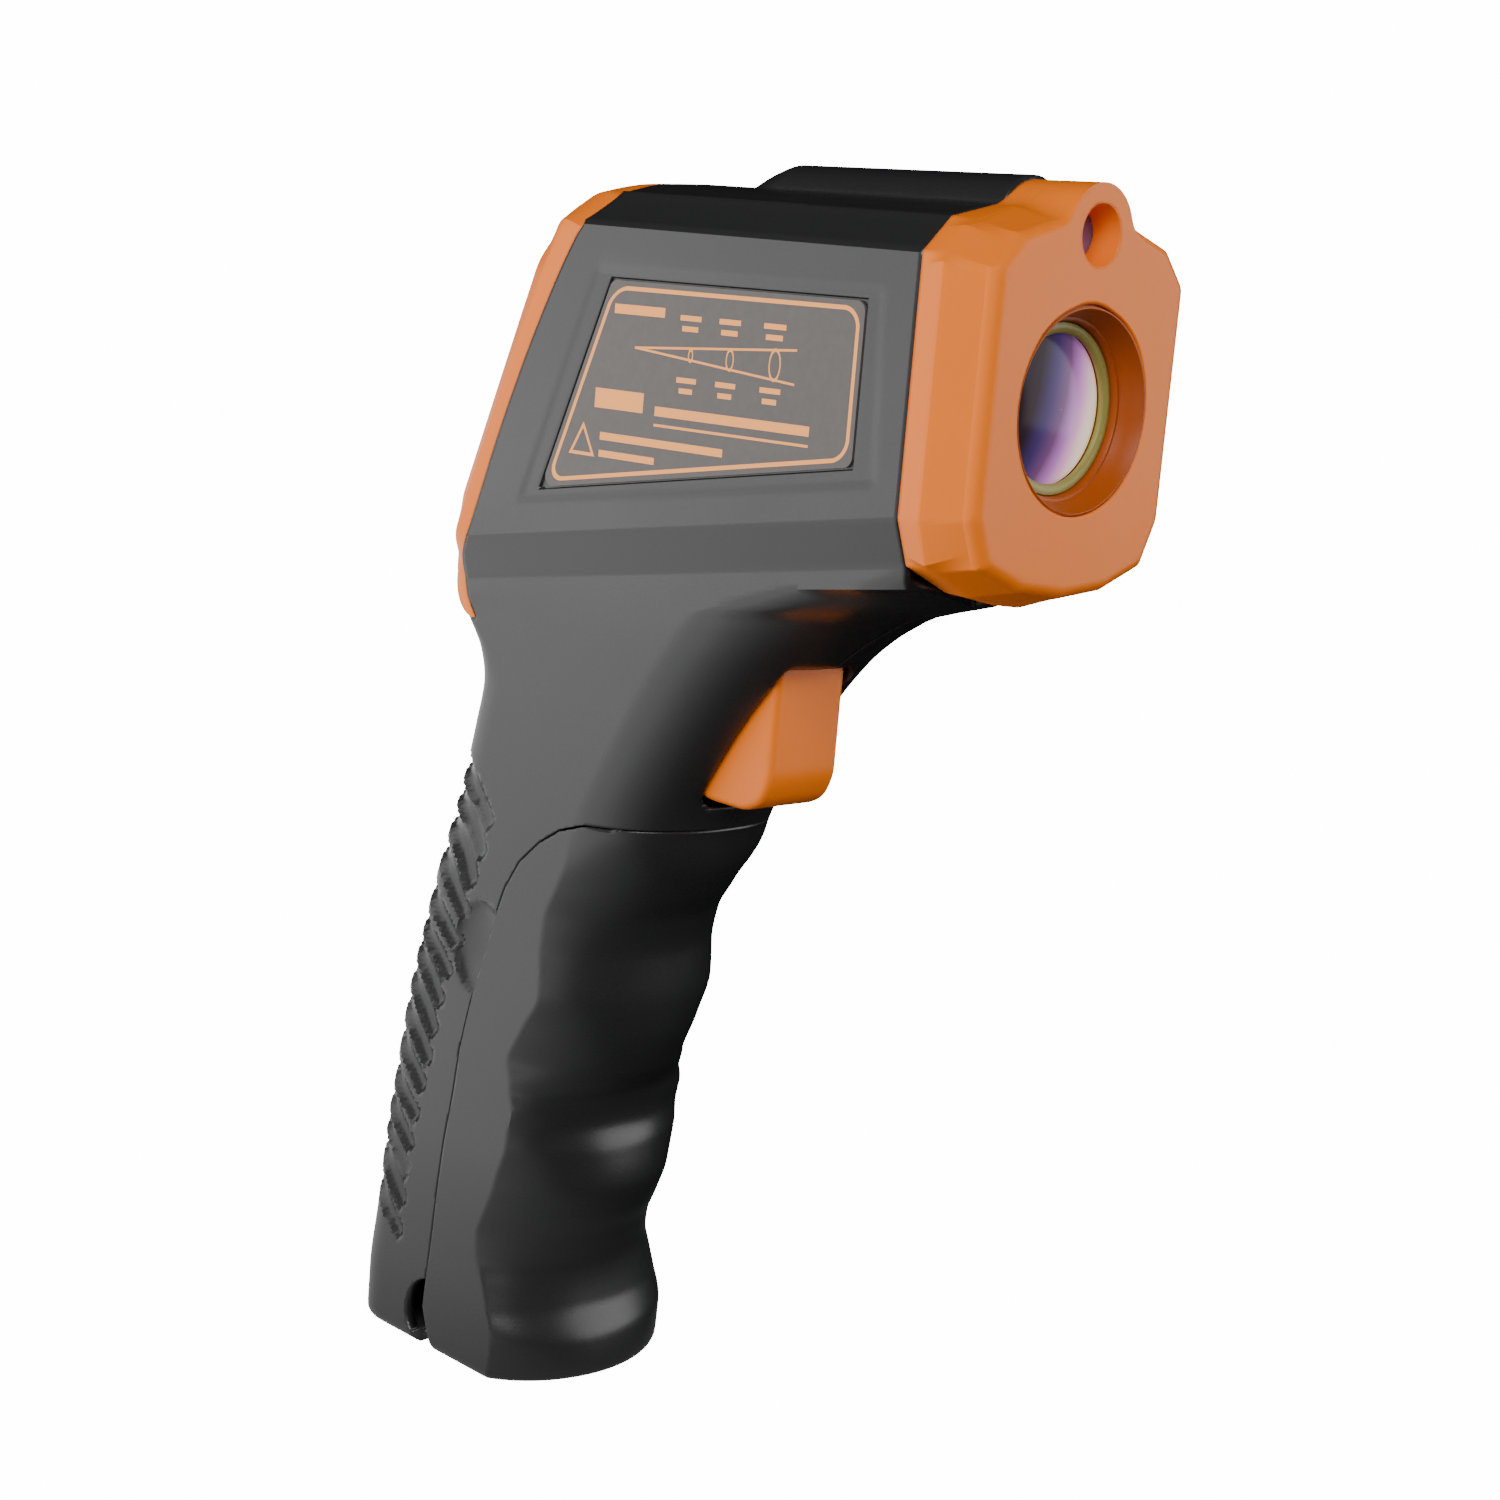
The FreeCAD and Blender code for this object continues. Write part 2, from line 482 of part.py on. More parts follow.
def lead(name, spots):
    """A round lead along a smooth curve through spots on the optical axes."""
    curve = Part.BSplineCurve()
    curve.interpolate([Vector(*spot) for spot in spots])
    start = Part.Wire(Part.Circle(Vector(*spots[0]), curve.tangent(0)[0], 0.55).toShape())
    return shaped(name, Part.Wire(curve.toShape()).makePipeShell([start], True, True))


LEADS = (("laser_leads", (-1, 1), ((0.9, 20.7, 18.6), (1.1, 30, 17.4), (1.6, 44, 17.0), (2, 54, 14), (2, 62.1, 7.1))),
         ("sensor_leads", (-1, 0, 1), ((1.5, 35.6, -3), (1.6, 43, -4), (1.8, 54, -2), (2, 64.5, 1.9))),
         ("battery_leads", (-1, 1), ((9, 70, -67.6), (9, 71.2, -56), (8.6, 72, -38), (8, 72.3, -28), (7, 73.1, -21))))
for lead_name, turns, spots in LEADS:
    runs = [lead("%s_%d" % (lead_name, turn + 1), [(turn * across, away, high) for across, away, high in spots])
            for turn in turns]
    finished(group(lead_name + "_set", *runs), lead_name)
housing_screws = []
for step, (away, high) in enumerate(BOSSES):
    shank = rod("HousingShank%d" % step, "screwRadius - 0.05", "13.6", ("-5", str(away), str(high)), AXIS_X)
    head = rod("HousingHead%d" % step, "screwHead", "1.6", ("8.6", str(away), str(high)), AXIS_X)
    housing_screws.append(fuse("HousingScrew%d" % step, shank, head))
finished(group("HousingScrews", *housing_screws), "housing_screws")

# ---- Shapes of the housing ----

def along(line, level):
    """The value a line of (level, value) pairs has at a level."""
    for (high, first), (low, last) in zip(line, line[1:]):
        if high >= level >= low:
            return first + (last - first) * (high - level) / (high - low)
    return line[-1][1]


def grip_ring(level, inset):
    """A horizontal section of the grip: straight sides between a round front and a round back."""
    front = along(FRONT_LINE, level) + inset
    back = along(BACK_LINE, level) - inset
    half = along(SIDE_LINE, level) - inset
    deep = along(ROUND_LINE, level) - 0.35 * inset
    rear = 7.5 - 0.35 * inset
    quarter = []
    for step in range(9):
        angle = math.pi / 2 * step / 8
        quarter.append((half * math.sin(angle) ** 0.9, front + deep - deep * math.cos(angle) ** 0.95))
    quarter.append((half, 0.5 * (front + deep + back - rear)))
    for step in range(7):
        angle = math.pi / 2 * step / 6
        quarter.append((half * math.cos(angle) ** 0.6, back - rear + rear * math.sin(angle) ** 0.75))
    mirrored = [(-across, away) for across, away in reversed(quarter[1:-1])]
    return [Vector(across, away, level) for across, away in quarter + mirrored]


def grip_solid(inset, floor):
    """The grip as a solid through its horizontal sections, its foot drawn in to a rounded edge."""
    rings = [(level, inset) for level in RING_LEVELS if level > floor + 3]
    rings += [(floor + 3, inset), (floor + 1.2, inset + 0.4), (floor + 0.3, inset + 1.2), (floor, inset + 2.2)]
    wires = []
    for level, drawn in rings:
        curve = Part.BSplineCurve()
        curve.interpolate(grip_ring(level, drawn), PeriodicFlag=True)
        wires.append(Part.Wire(curve.toShape()))
    return Part.makeLoft(wires, True, False)


def faceted(sections):
    """A straight-sided solid through half sections mirrored about x = 0."""
    wires = []
    for away, half in sections:
        right = [Vector(across, away, high) for across, high in half]
        left = [Vector(-across, away, high) for across, high in reversed(half[1:-1])]
        wires.append(Part.makePolygon(right + left + right[:1]))
    return Part.makeLoft(wires, True, True)


def inside(half, inset):
    """A half section drawn in by a wall's thickness."""
    return [(max(across - inset, 0), high - inset if high > 0 else high + inset) for across, high in half]


def side_prism(line, half):
    """A slab of the given half width with a side view as its outline."""
    corners = [Vector(-half, away, high) for away, high in line]
    return Part.Face(Part.makePolygon(corners + corners[:1])).extrude(Vector(2 * half, 0, 0))


wall = size("wallThick")
joint = size("noseJoint")
reach = size("headBack") - joint
fall = size("creaseFall") * reach
HEAD_REAR = [(across, high + 0.015 * reach if high > 0 else high - fall) for across, high in HEAD_FRONT]


def head_solid(inset, start):
    """The faceted head with its rear outline, drawn in by a wall's thickness."""
    sections = ((start, inside(HEAD_FRONT, inset)), (size("headBack"), inside(HEAD_REAR, inset)))
    return faceted(sections).common(side_prism(INNER_REAR if inset else REAR_LINE, 30))


front_cutter = Part.makeBox(60, 100, 200, Vector(-30, joint - 100, -150))
ridge_radius = size("ridgeRadius")
ridge = Part.makeCylinder(ridge_radius, size("ridgeBack") - joint, Vector(0, joint, size("ridgeAxis")), Vector(0, 1, 0))
ridge_tail = Part.makeCone(ridge_radius, 2.2, 4.8, Vector(0, size("ridgeBack"), size("ridgeAxis")), Vector(0, 1, 0))
outer = head_solid(0, joint).fuse([grip_solid(0, -132).cut(front_cutter), ridge, ridge_tail])
laser_tunnel = Part.makeCylinder(3.8, 36, Vector(0, joint - 1, size("laserAxis")), Vector(0, 1, 0))
hollow = head_solid(wall, joint - 1).fuse([grip_solid(wall, -129.6).cut(front_cutter), laser_tunnel])
outer_shape = shaped("HousingOutside", outer)
hollow_shape = shaped("HousingHollow", hollow)
bezel_region = shaped("RearBezelRegion", side_prism(BEZEL_LINE, 30))
door_front = ((20, -55.5), (46, -55.5))
door_end = ((20, -134),)
door_region = shaped("DoorRegion", side_prism(door_front + DOOR_LINE + door_end, 30))
gap = size("seamGap")
grown = [(away + gap, high + 0.35 * gap) for away, high in DOOR_LINE]
door_clearance = shaped("DoorClearance", side_prism([(20, -55.5 + gap), (46, -55.5 + gap)] + grown + list(door_end), 30))
whole = cut("HousingWall", outer_shape, hollow_shape)
doc.recompute()

# ---- Housing halves and battery door ----

side_face = 17.5 - size("labelRecess")


def label_outline(margin):
    """The label panel's corners moved outwards by a margin."""
    middle = (40.0, -1.0)
    grown_corners = []
    for away, high in LABEL_CORNERS:
        grown_corners.append((away + math.copysign(margin, away - middle[0]), high + math.copysign(margin, high - middle[1])))
    return grown_corners


def panel(name, sign, margin, start, thick):
    """A flat panel on the side of the head, with rounded corners."""
    corners = [Vector(sign * start, away, high) for away, high in label_outline(margin)]
    made = Part.Face(Part.makePolygon(corners + corners[:1])).extrude(Vector(sign * thick, 0, 0))
    upright = [edge for edge in made.Edges if abs(edge.Length - thick) < 1e-6]
    return shaped(name, made.makeFillet(1.2, upright))


slot = box("TriggerSlot", ("2*triggerHalf + 0.9", "34", "29.5"), ("-triggerHalf - 0.45", "22", "-52.3"))
slot_front = cut("TriggerSlotOpen", slot, box("SlotKeep", ("40", "13", "12"), ("-20", "20", "-32.6")))
hinge_room = rod("HingeRoom", "5.1", "60", ("-30", "hingeBack", "-hingeDown"), AXIS_X)
scoops = [rod("Scoop%d" % turn, "5.5", "2", (across, "74.5", "-75.6"), AXIS_X)
          for turn, across in enumerate(("-16.1", "14.1"))]
ends = ((75.5, -59.1), (76.8, -63.3), (78.0, -67.2), (79.3, -71.2), (80.6, -75.8), (81.6, -80.0), (82.7, -84.1),
        (83.7, -88.4), (84.6, -92.5), (85.5, -96.4), (86.3, -100.7), (87.0, -105.0), (87.8, -109.2),
        (88.5, -113.2), (89.4, -117.5))
grooves = []
for step, (away, high) in enumerate(ends):
    for sign in (-1, 1):
        grooves.append(rod("Groove%d_%d" % (step, sign + 1), "1.25", "15", (str(sign * 15.6), str(away), str(high)),
                           Rotation(Vector(1, 0, 0), -42)))
rims = fuse("GripGrooves", *grooves)
recesses = group("LabelRecesses", panel("RecessLeft", 1, size("labelMargin"), side_face, 3),
                 panel("RecessRight", -1, size("labelMargin"), side_face, 3))
back_wall = cut("HousingNoBezel", whole, bezel_region)
no_door = cut("HousingNoDoor", back_wall, door_clearance)
open_wall = cut("HousingOpen", no_door, fuse("HousingTools", slot_front, hinge_room, *scoops))
detailed = cut("HousingRibbed", open_wall, rims)
panelled = cut("HousingPanelled", detailed, recesses)

boss_rods = [rod("Boss%d" % step, "bossRadius", "36", ("-18", str(away), str(high)), AXIS_X)
             for step, (away, high) in enumerate(BOSSES)]
pivot_boss = rod("PivotBoss", "3.2", "36", ("-18", "pivotBack", "-pivotDown"), AXIS_X)
lugs = [box("HingeLug%d" % turn, ("3.6", "16", "3.2"), (across, "hingeBack", "-hingeDown - 1.2"))
        for turn, across in enumerate(("3.2", "-6.8"))]
lugs += [rod("HingeEye%d" % turn, "2", "3.6", (across, "hingeBack", "-hingeDown"), AXIS_X)
         for turn, across in enumerate(("3.2", "-6.8"))]
boss_set = fuse("Bosses", pivot_boss, *boss_rods)
trigger_room = box("TriggerRoom", ("2*triggerHalf + 1.4", "40", "60"), ("-triggerHalf - 0.7", "20", "-60"))
boss_trim = cut("BossesTrimmed", boss_set, trigger_room)
boss_inner = common("BossesInside", boss_trim, hollow_shape)
lug_inner = common("LugsInside", fuse("Lugs", *lugs), hollow_shape)
pivot_bore = rod("PivotBore", "pivotRadius", "2*pivotHalf", ("-pivotHalf", "pivotBack", "-pivotDown"), AXIS_X)
hinge_bore = rod("HingeBore", "hingeRadius", "2*hingeHalf + 2", ("-hingeHalf - 1", "hingeBack", "-hingeDown"), AXIS_X)
screw_bores = [rod("ScrewBore%d" % step, "screwRadius", "22", ("-8", str(away), str(high)), AXIS_X)
               for step, (away, high) in enumerate(BOSSES)]
head_bores = [rod("HeadBore%d" % step, "screwHead + 0.1", "12", ("8.5", str(away), str(high)), AXIS_X)
              for step, (away, high) in enumerate(BOSSES)]
bores = fuse("Bores", pivot_bore, hinge_bore, *(screw_bores + head_bores))
filled = fuse("HousingFilled", panelled, boss_inner, lug_inner)
housing = cut("HousingBored", filled, bores)
right_half = common("RightHalf", housing, box("RightRegion", ("40", "130", "200"), ("-40", "-10", "-150")))
left_half = common("LeftHalf", housing, box("LeftRegion", ("40", "130", "200"), ("0", "-10", "-150")))
finished(right_half, "right_shell")
finished(left_half, "left_shell")

door_wall = outer.common(door_region.Shape).cut(hollow)
hinge_back = size("hingeBack")
hinge_level = -size("hingeDown")
across_way = Vector(1, 0, 0)
door_knuckles = []
for across in (8.4, -11.4):
    door_knuckles.append(Part.makeCylinder(2.7, 3, Vector(across, hinge_back, hinge_level), across_way))
    door_knuckles.append(Part.makeBox(3, 9, 3.4, Vector(across, hinge_back - 9, hinge_level - 2.6)))
door_bore = Part.makeCylinder(size("hingeRadius") + size("runningGap"), 24.2,
                              Vector(-12.1, hinge_back, hinge_level), across_way)
door = finished(shaped("BatteryDoor", door_wall.fuse(door_knuckles).cut(door_bore)), "battery_door")
finished(panel("LabelLeft", 1, 0, side_face, size("labelThick")), "label_left")
finished(panel("LabelRight", -1, 0, side_face, size("labelThick")), "label_right")

# ---- Orange bezels ----

seat = size("mouthDeep")
deep = size("barrelFront")
axis_up = size("laserAxis")
back_way = Vector(0, 1, 0)
on_laser = Vector(0, 0, axis_up)
nose_tools = [
    Part.makeCone(size("lensMouth"), size("lensSeat"), seat, Vector(), back_way),
    Part.makeCylinder(size("lensSeat"), deep, Vector(), back_way),
    faceted(((deep, inside(NOSE[2][1], wall)), (joint + 0.1, inside(HEAD_FRONT, wall)))),
    Part.makeCone(size("laserMouth"), size("laserSeat"), 3, on_laser, back_way),
    Part.makeCylinder(size("laserSeat"), 4.5, on_laser, back_way),
    Part.makeCylinder(size("laserRadius") + 0.05, 6, on_laser + Vector(0, size("laserFront"), 0), back_way),
]
nose_shape = faceted(NOSE).fuse(Part.makeCylinder(ridge_radius, joint, on_laser, back_way))
nose_whole = shaped("NoseOutside", nose_shape)
nose_hollow = shaped("NoseHollow", nose_tools[0].fuse(nose_tools[1:]))
finished(cut("NoseBezel", nose_whole, nose_hollow), "nose_bezel")

REAR_ON_AXIS = ON_AXIS.inverse().multiply(REAR_FACE)


def rear_tool(thing):
    """Puts a helper drawn on the rear face into the optical axes."""
    thing.Placement = REAR_ON_AXIS.multiply(thing.Placement)
    return thing


rear_cap = common("RearCap", whole, bezel_region)
doc.recompute()
window_cuts = [box("WindowSeat", ("windowWide", "windowTall", "9"),
                   ("-windowWide/2", "windowUp - windowTall/2", "-windowThick - 0.25")),
               box("WindowView", ("windowWide - 2", "windowTall - 2", "20"),
                   ("1 - windowWide/2", "windowUp - windowTall/2 + 1", "-6"))]
key_cuts = [box("KeyHole%d" % step, ("keyWide + 2*keyGap", "keyTall + 2*keyGap", "20"),
                ("%d*keyPitch - keyWide/2 - keyGap" % (step - 1), "keyUp - keyTall/2 - keyGap", "-6")) for step in range(3)]
posts = []
post_bores = []
for step, (radius, across, up) in enumerate(mount_holes):
    posts.append(rod("BoardPost%d" % step, "1.45", "boardDeep - 2.2", (across, up, "-boardDeep")))
    post_bores.append(rod("PostBore%d" % step, "0.95", "3.5", (across, up, "-boardDeep")))
wedges = []
slope = 15.2
tilted = math.radians(slope)
for step, sign in enumerate((1, -1)):
    start = 0 if sign > 0 else -10
    spot = Vector(sign * (15.7 + 10 * math.sin(tilted)) + start * math.cos(tilted), -30,
                  -10 * math.cos(tilted) - sign * start * -math.sin(tilted))
    wedge = box("BezelSlope%d" % step, ("10", "60", "20"), ("0", "0", "0"))
    for coordinate in "xyz":
        wedge.setExpression("Placement.Base." + coordinate, None)
    wedge.Placement = Placement(spot, Rotation(Vector(0, 1, 0), -sign * slope))
    wedges.append(wedge)
doc.recompute()
for thing in window_cuts + key_cuts + posts + post_bores + wedges:
    for coordinate in "xyz":
        thing.setExpression("Placement.Base." + coordinate, None)
    rear_tool(thing)
rear_full = fuse("RearWithPosts", rear_cap, *posts)
rear_cuts = fuse("RearCuts", *(window_cuts + key_cuts + post_bores + wedges))
finished(cut("RearBezel", rear_full, rear_cuts), "rear_bezel")

# ---- Export ----

doc.recompute()
for thing in doc.Objects:
    if "Invalid" in thing.State or "Error" in thing.State:
        raise RuntimeError("feature failed: " + thing.Name)
os.makedirs("parts", exist_ok=True)
for thing in parts:
    if thing.Shape.isNull() or not thing.Shape.isValid():
        raise RuntimeError("sub-part is not sound: " + thing.Label)
    thing.Shape.exportStep("parts/%s.step" % thing.Label)
    print(thing.Label, round(thing.Shape.Volume), len(thing.Shape.Solids))
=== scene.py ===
import math

import bpy
import numpy as np
from mathutils import Matrix


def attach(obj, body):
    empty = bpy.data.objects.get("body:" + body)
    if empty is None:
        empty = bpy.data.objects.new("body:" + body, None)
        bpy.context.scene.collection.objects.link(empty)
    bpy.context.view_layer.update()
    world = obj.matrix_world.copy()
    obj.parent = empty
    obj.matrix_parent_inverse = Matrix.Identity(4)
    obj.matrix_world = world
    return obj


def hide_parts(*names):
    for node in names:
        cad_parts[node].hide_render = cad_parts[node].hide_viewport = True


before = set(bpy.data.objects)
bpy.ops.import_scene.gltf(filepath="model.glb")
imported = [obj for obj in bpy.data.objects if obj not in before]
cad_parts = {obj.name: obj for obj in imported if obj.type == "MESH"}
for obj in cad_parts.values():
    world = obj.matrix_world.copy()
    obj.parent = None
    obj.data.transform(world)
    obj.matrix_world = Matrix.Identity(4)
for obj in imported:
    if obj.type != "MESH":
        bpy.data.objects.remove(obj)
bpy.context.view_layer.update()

# Shapes are drawn in millimetres on the optical axis: x = 0 splits the housing, y runs back
# from the front face of the nose, z is the height over the lens axis.
axisShift = np.array([0.0, -49.13, 132.0])


def toFrame(points):
    # millimetres on the optical axis to metres in the shared frame
    return (np.asarray(points, float) + axisShift) / 1000.0


# ---- curves and fields ----

def smoothLine(table, at):
    # cubic through (place, value) pairs, slopes taken from the neighbours' mean, places rising
    table = np.array(sorted(table), float)
    place, value = table[:, 0], table[:, 1]
    slope = np.diff(value) / np.diff(place)
    same = slope[:-1] * slope[1:] > 0
    inner = np.where(same, 2 * slope[:-1] * slope[1:] / np.where(same, slope[:-1] + slope[1:], 1), 0)
    tangent = np.concatenate(([slope[0]], inner, [slope[-1]]))
    at = np.clip(np.asarray(at, float), place[0], place[-1])
    k = np.clip(np.searchsorted(place, at) - 1, 0, len(place) - 2)
    step = place[k + 1] - place[k]
    t = (at - place[k]) / step
    return ((2 * t**3 - 3 * t**2 + 1) * value[k] + (t**3 - 2 * t**2 + t) * step * tangent[k]
            + (3 * t**2 - 2 * t**3) * value[k + 1] + (t**3 - t**2) * step * tangent[k + 1])


def smoothStep(low, high, value):
    # 0 below low, 1 above high, a smooth cubic between
    t = np.clip((value - low) / (high - low), 0, 1)
    return t * t * (3 - 2 * t)


def insideDistance(first, second, corners):
    # signed distance to a closed outline, positive inside, for arrays of two coordinates
    corners = np.array(corners, float)
    best = np.full(np.shape(first), 1e9)
    crossings = np.zeros(np.shape(first), int)
    for (ax, ay), (bx, by) in zip(corners, np.roll(corners, -1, axis=0)):
        ex, ey = bx - ax, by - ay
        t = np.clip(((first - ax) * ex + (second - ay) * ey) / (ex * ex + ey * ey + 1e-12), 0, 1)
        best = np.minimum(best, np.hypot(first - ax - t * ex, second - ay - t * ey))
        spans = (ay > second) != (by > second)
        cross = first < (bx - ax) * (second - ay) / (by - ay if by != ay else 1e-12) + ax
        crossings += (spans & cross).astype(int)
    return np.where(crossings % 2 == 1, best, -best)


def gridNormals(grid):
    # unit normals of a grid surface: the cross product of its two parameter slopes
    along = np.gradient(grid, axis=0)
    across = np.gradient(grid, axis=1)
    normal = np.cross(along, across)
    return normal / np.maximum(np.linalg.norm(normal, axis=2, keepdims=True), 1e-9)


# ---- meshes from grids ----

def addObject(name, data):
    holder = bpy.data.objects.new(name, data)
    bpy.context.scene.collection.objects.link(holder)
    return holder


def gridFaces(rows, columns, first=0, closed=False):
    # quads of a rows by columns grid, joined round its columns when closed
    r = np.arange(rows - 1)[:, None]
    c = np.arange(columns if closed else columns - 1)[None, :]
    n = (c + 1) % columns
    quads = np.stack([r * columns + c, r * columns + n, (r + 1) * columns + n, (r + 1) * columns + c], axis=-1)
    return quads.reshape(-1, 4) + first


def trimmed(points, quads, field):
    # keeps the part of a surface where field(x, y, z) >= 0: whole quads stay, crossed ones are cut
    # as triangles whose new corners lie where the field is nought along an edge
    value = field(points[:, 0], points[:, 1], points[:, 2])
    inside = value >= 0
    count = inside[quads].sum(axis=1)
    whole = quads[count == 4]
    crossed = quads[(count > 0) & (count < 4)]
    triangles = np.concatenate([crossed[:, [0, 1, 2]], crossed[:, [0, 2, 3]]])
    hits = inside[triangles].sum(axis=1)
    kept = [triangles[hits == 3]]
    cutEdges, makers = [], []
    for wanted, lone in ((1, True), (2, False)):
        some = triangles[hits == wanted]
        flags = inside[some] == lone
        turn = flags.argmax(axis=1)
        some = np.stack([some[np.arange(len(some)), (turn + k) % 3] for k in range(3)], axis=1)
        cutEdges.append(np.stack([some[:, [0, 1]], some[:, [0, 2]]], axis=1))
        makers.append(some)
    edges = np.sort(np.concatenate([e.reshape(-1, 2) for e in cutEdges]), axis=1)
    if len(edges) == 0:
        return points, whole, kept[0]
    unique, back = np.unique(edges, axis=0, return_inverse=True)
    back = back.reshape(-1)
    a, b = unique[:, 0], unique[:, 1]
    share = (value[a] / (value[a] - value[b]))[:, None]
    fresh = points[a] + (points[b] - points[a]) * share
    start = len(points)
    ones = len(makers[0])
    newOne = start + back[: 2 * ones].reshape(-1, 2)
    newTwo = start + back[2 * ones:].reshape(-1, 2)
    kept.append(np.column_stack([makers[0][:, 0], newOne]))
    twoQuads = np.column_stack([newTwo[:, 0], makers[1][:, 1], makers[1][:, 2], newTwo[:, 1]])
    return np.vstack([points, fresh]), np.vstack([whole, twoQuads]), np.vstack(kept)


def makePiece(name, parts, body, material, stands=(), smooth=32.0, thick=0.0, trims=(), flip=False, bevel=0.0):
    # joins (points, quads) parts, trims them, welds what meets, and puts the piece on its body
    points, quads, offset = [], [], 0
    for partPoints, partQuads in parts:
        flat = np.asarray(partPoints, float).reshape(-1, 3)
        points.append(flat)
        quads.append(partQuads + offset)
        offset += len(flat)
    points, quads = np.vstack(points), np.vstack(quads)
    triangles = np.zeros((0, 3), int)
    for field in trims:
        if len(triangles):
            keep = field(points[:, 0], points[:, 1], points[:, 2])[triangles].min(axis=1) >= 0
            triangles = triangles[keep]
        points, quads, more = trimmed(points, quads, field)
        triangles = np.vstack([triangles, more])
    rounded = np.round(points / 2e-3).astype(np.int64)
    _, firsts, back = np.unique(rounded, axis=0, return_index=True, return_inverse=True)
    back = back.reshape(-1)
    points = points[firsts]
    faces = []
    for group in (back[quads], back[triangles]):
        if flip:
            group = group[:, ::-1]
        faces += [list(dict.fromkeys(face)) for face in group.tolist()]
    faces = [face for face in faces if len(face) > 2]
    used, renumbered = np.unique(np.concatenate(faces), return_inverse=True)
    points = points[used]
    cuts = np.cumsum([len(face) for face in faces])[:-1]
    faces = [run.tolist() for run in np.split(renumbered.reshape(-1), cuts)]
    mesh = bpy.data.meshes.new(name)
    mesh.from_pydata(toFrame(points).tolist(), [], faces)
    mesh.validate()
    mesh.polygons.foreach_set("use_smooth", np.ones(len(mesh.polygons), bool))
    mesh.set_sharp_from_angle(angle=math.radians(smooth))
    piece = addObject(name, mesh)
    if thick:
        solid = piece.modifiers.new("Wall", "SOLIDIFY")
        solid.thickness = thick / 1000.0
        solid.offset = -1
    if bevel:
        soft = piece.modifiers.new("SoftEdge", "BEVEL")
        soft.width = bevel / 1000.0
        soft.segments = 2
        soft.limit_method = "ANGLE"
        soft.angle_limit = math.radians(35)
        soft.harden_normals = True
    piece.data.materials.append(material)
    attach(piece, body)
    if stands:
        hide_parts(*stands)
    print("made", name, len(points), "points")


# ---- outer form of the housing ----

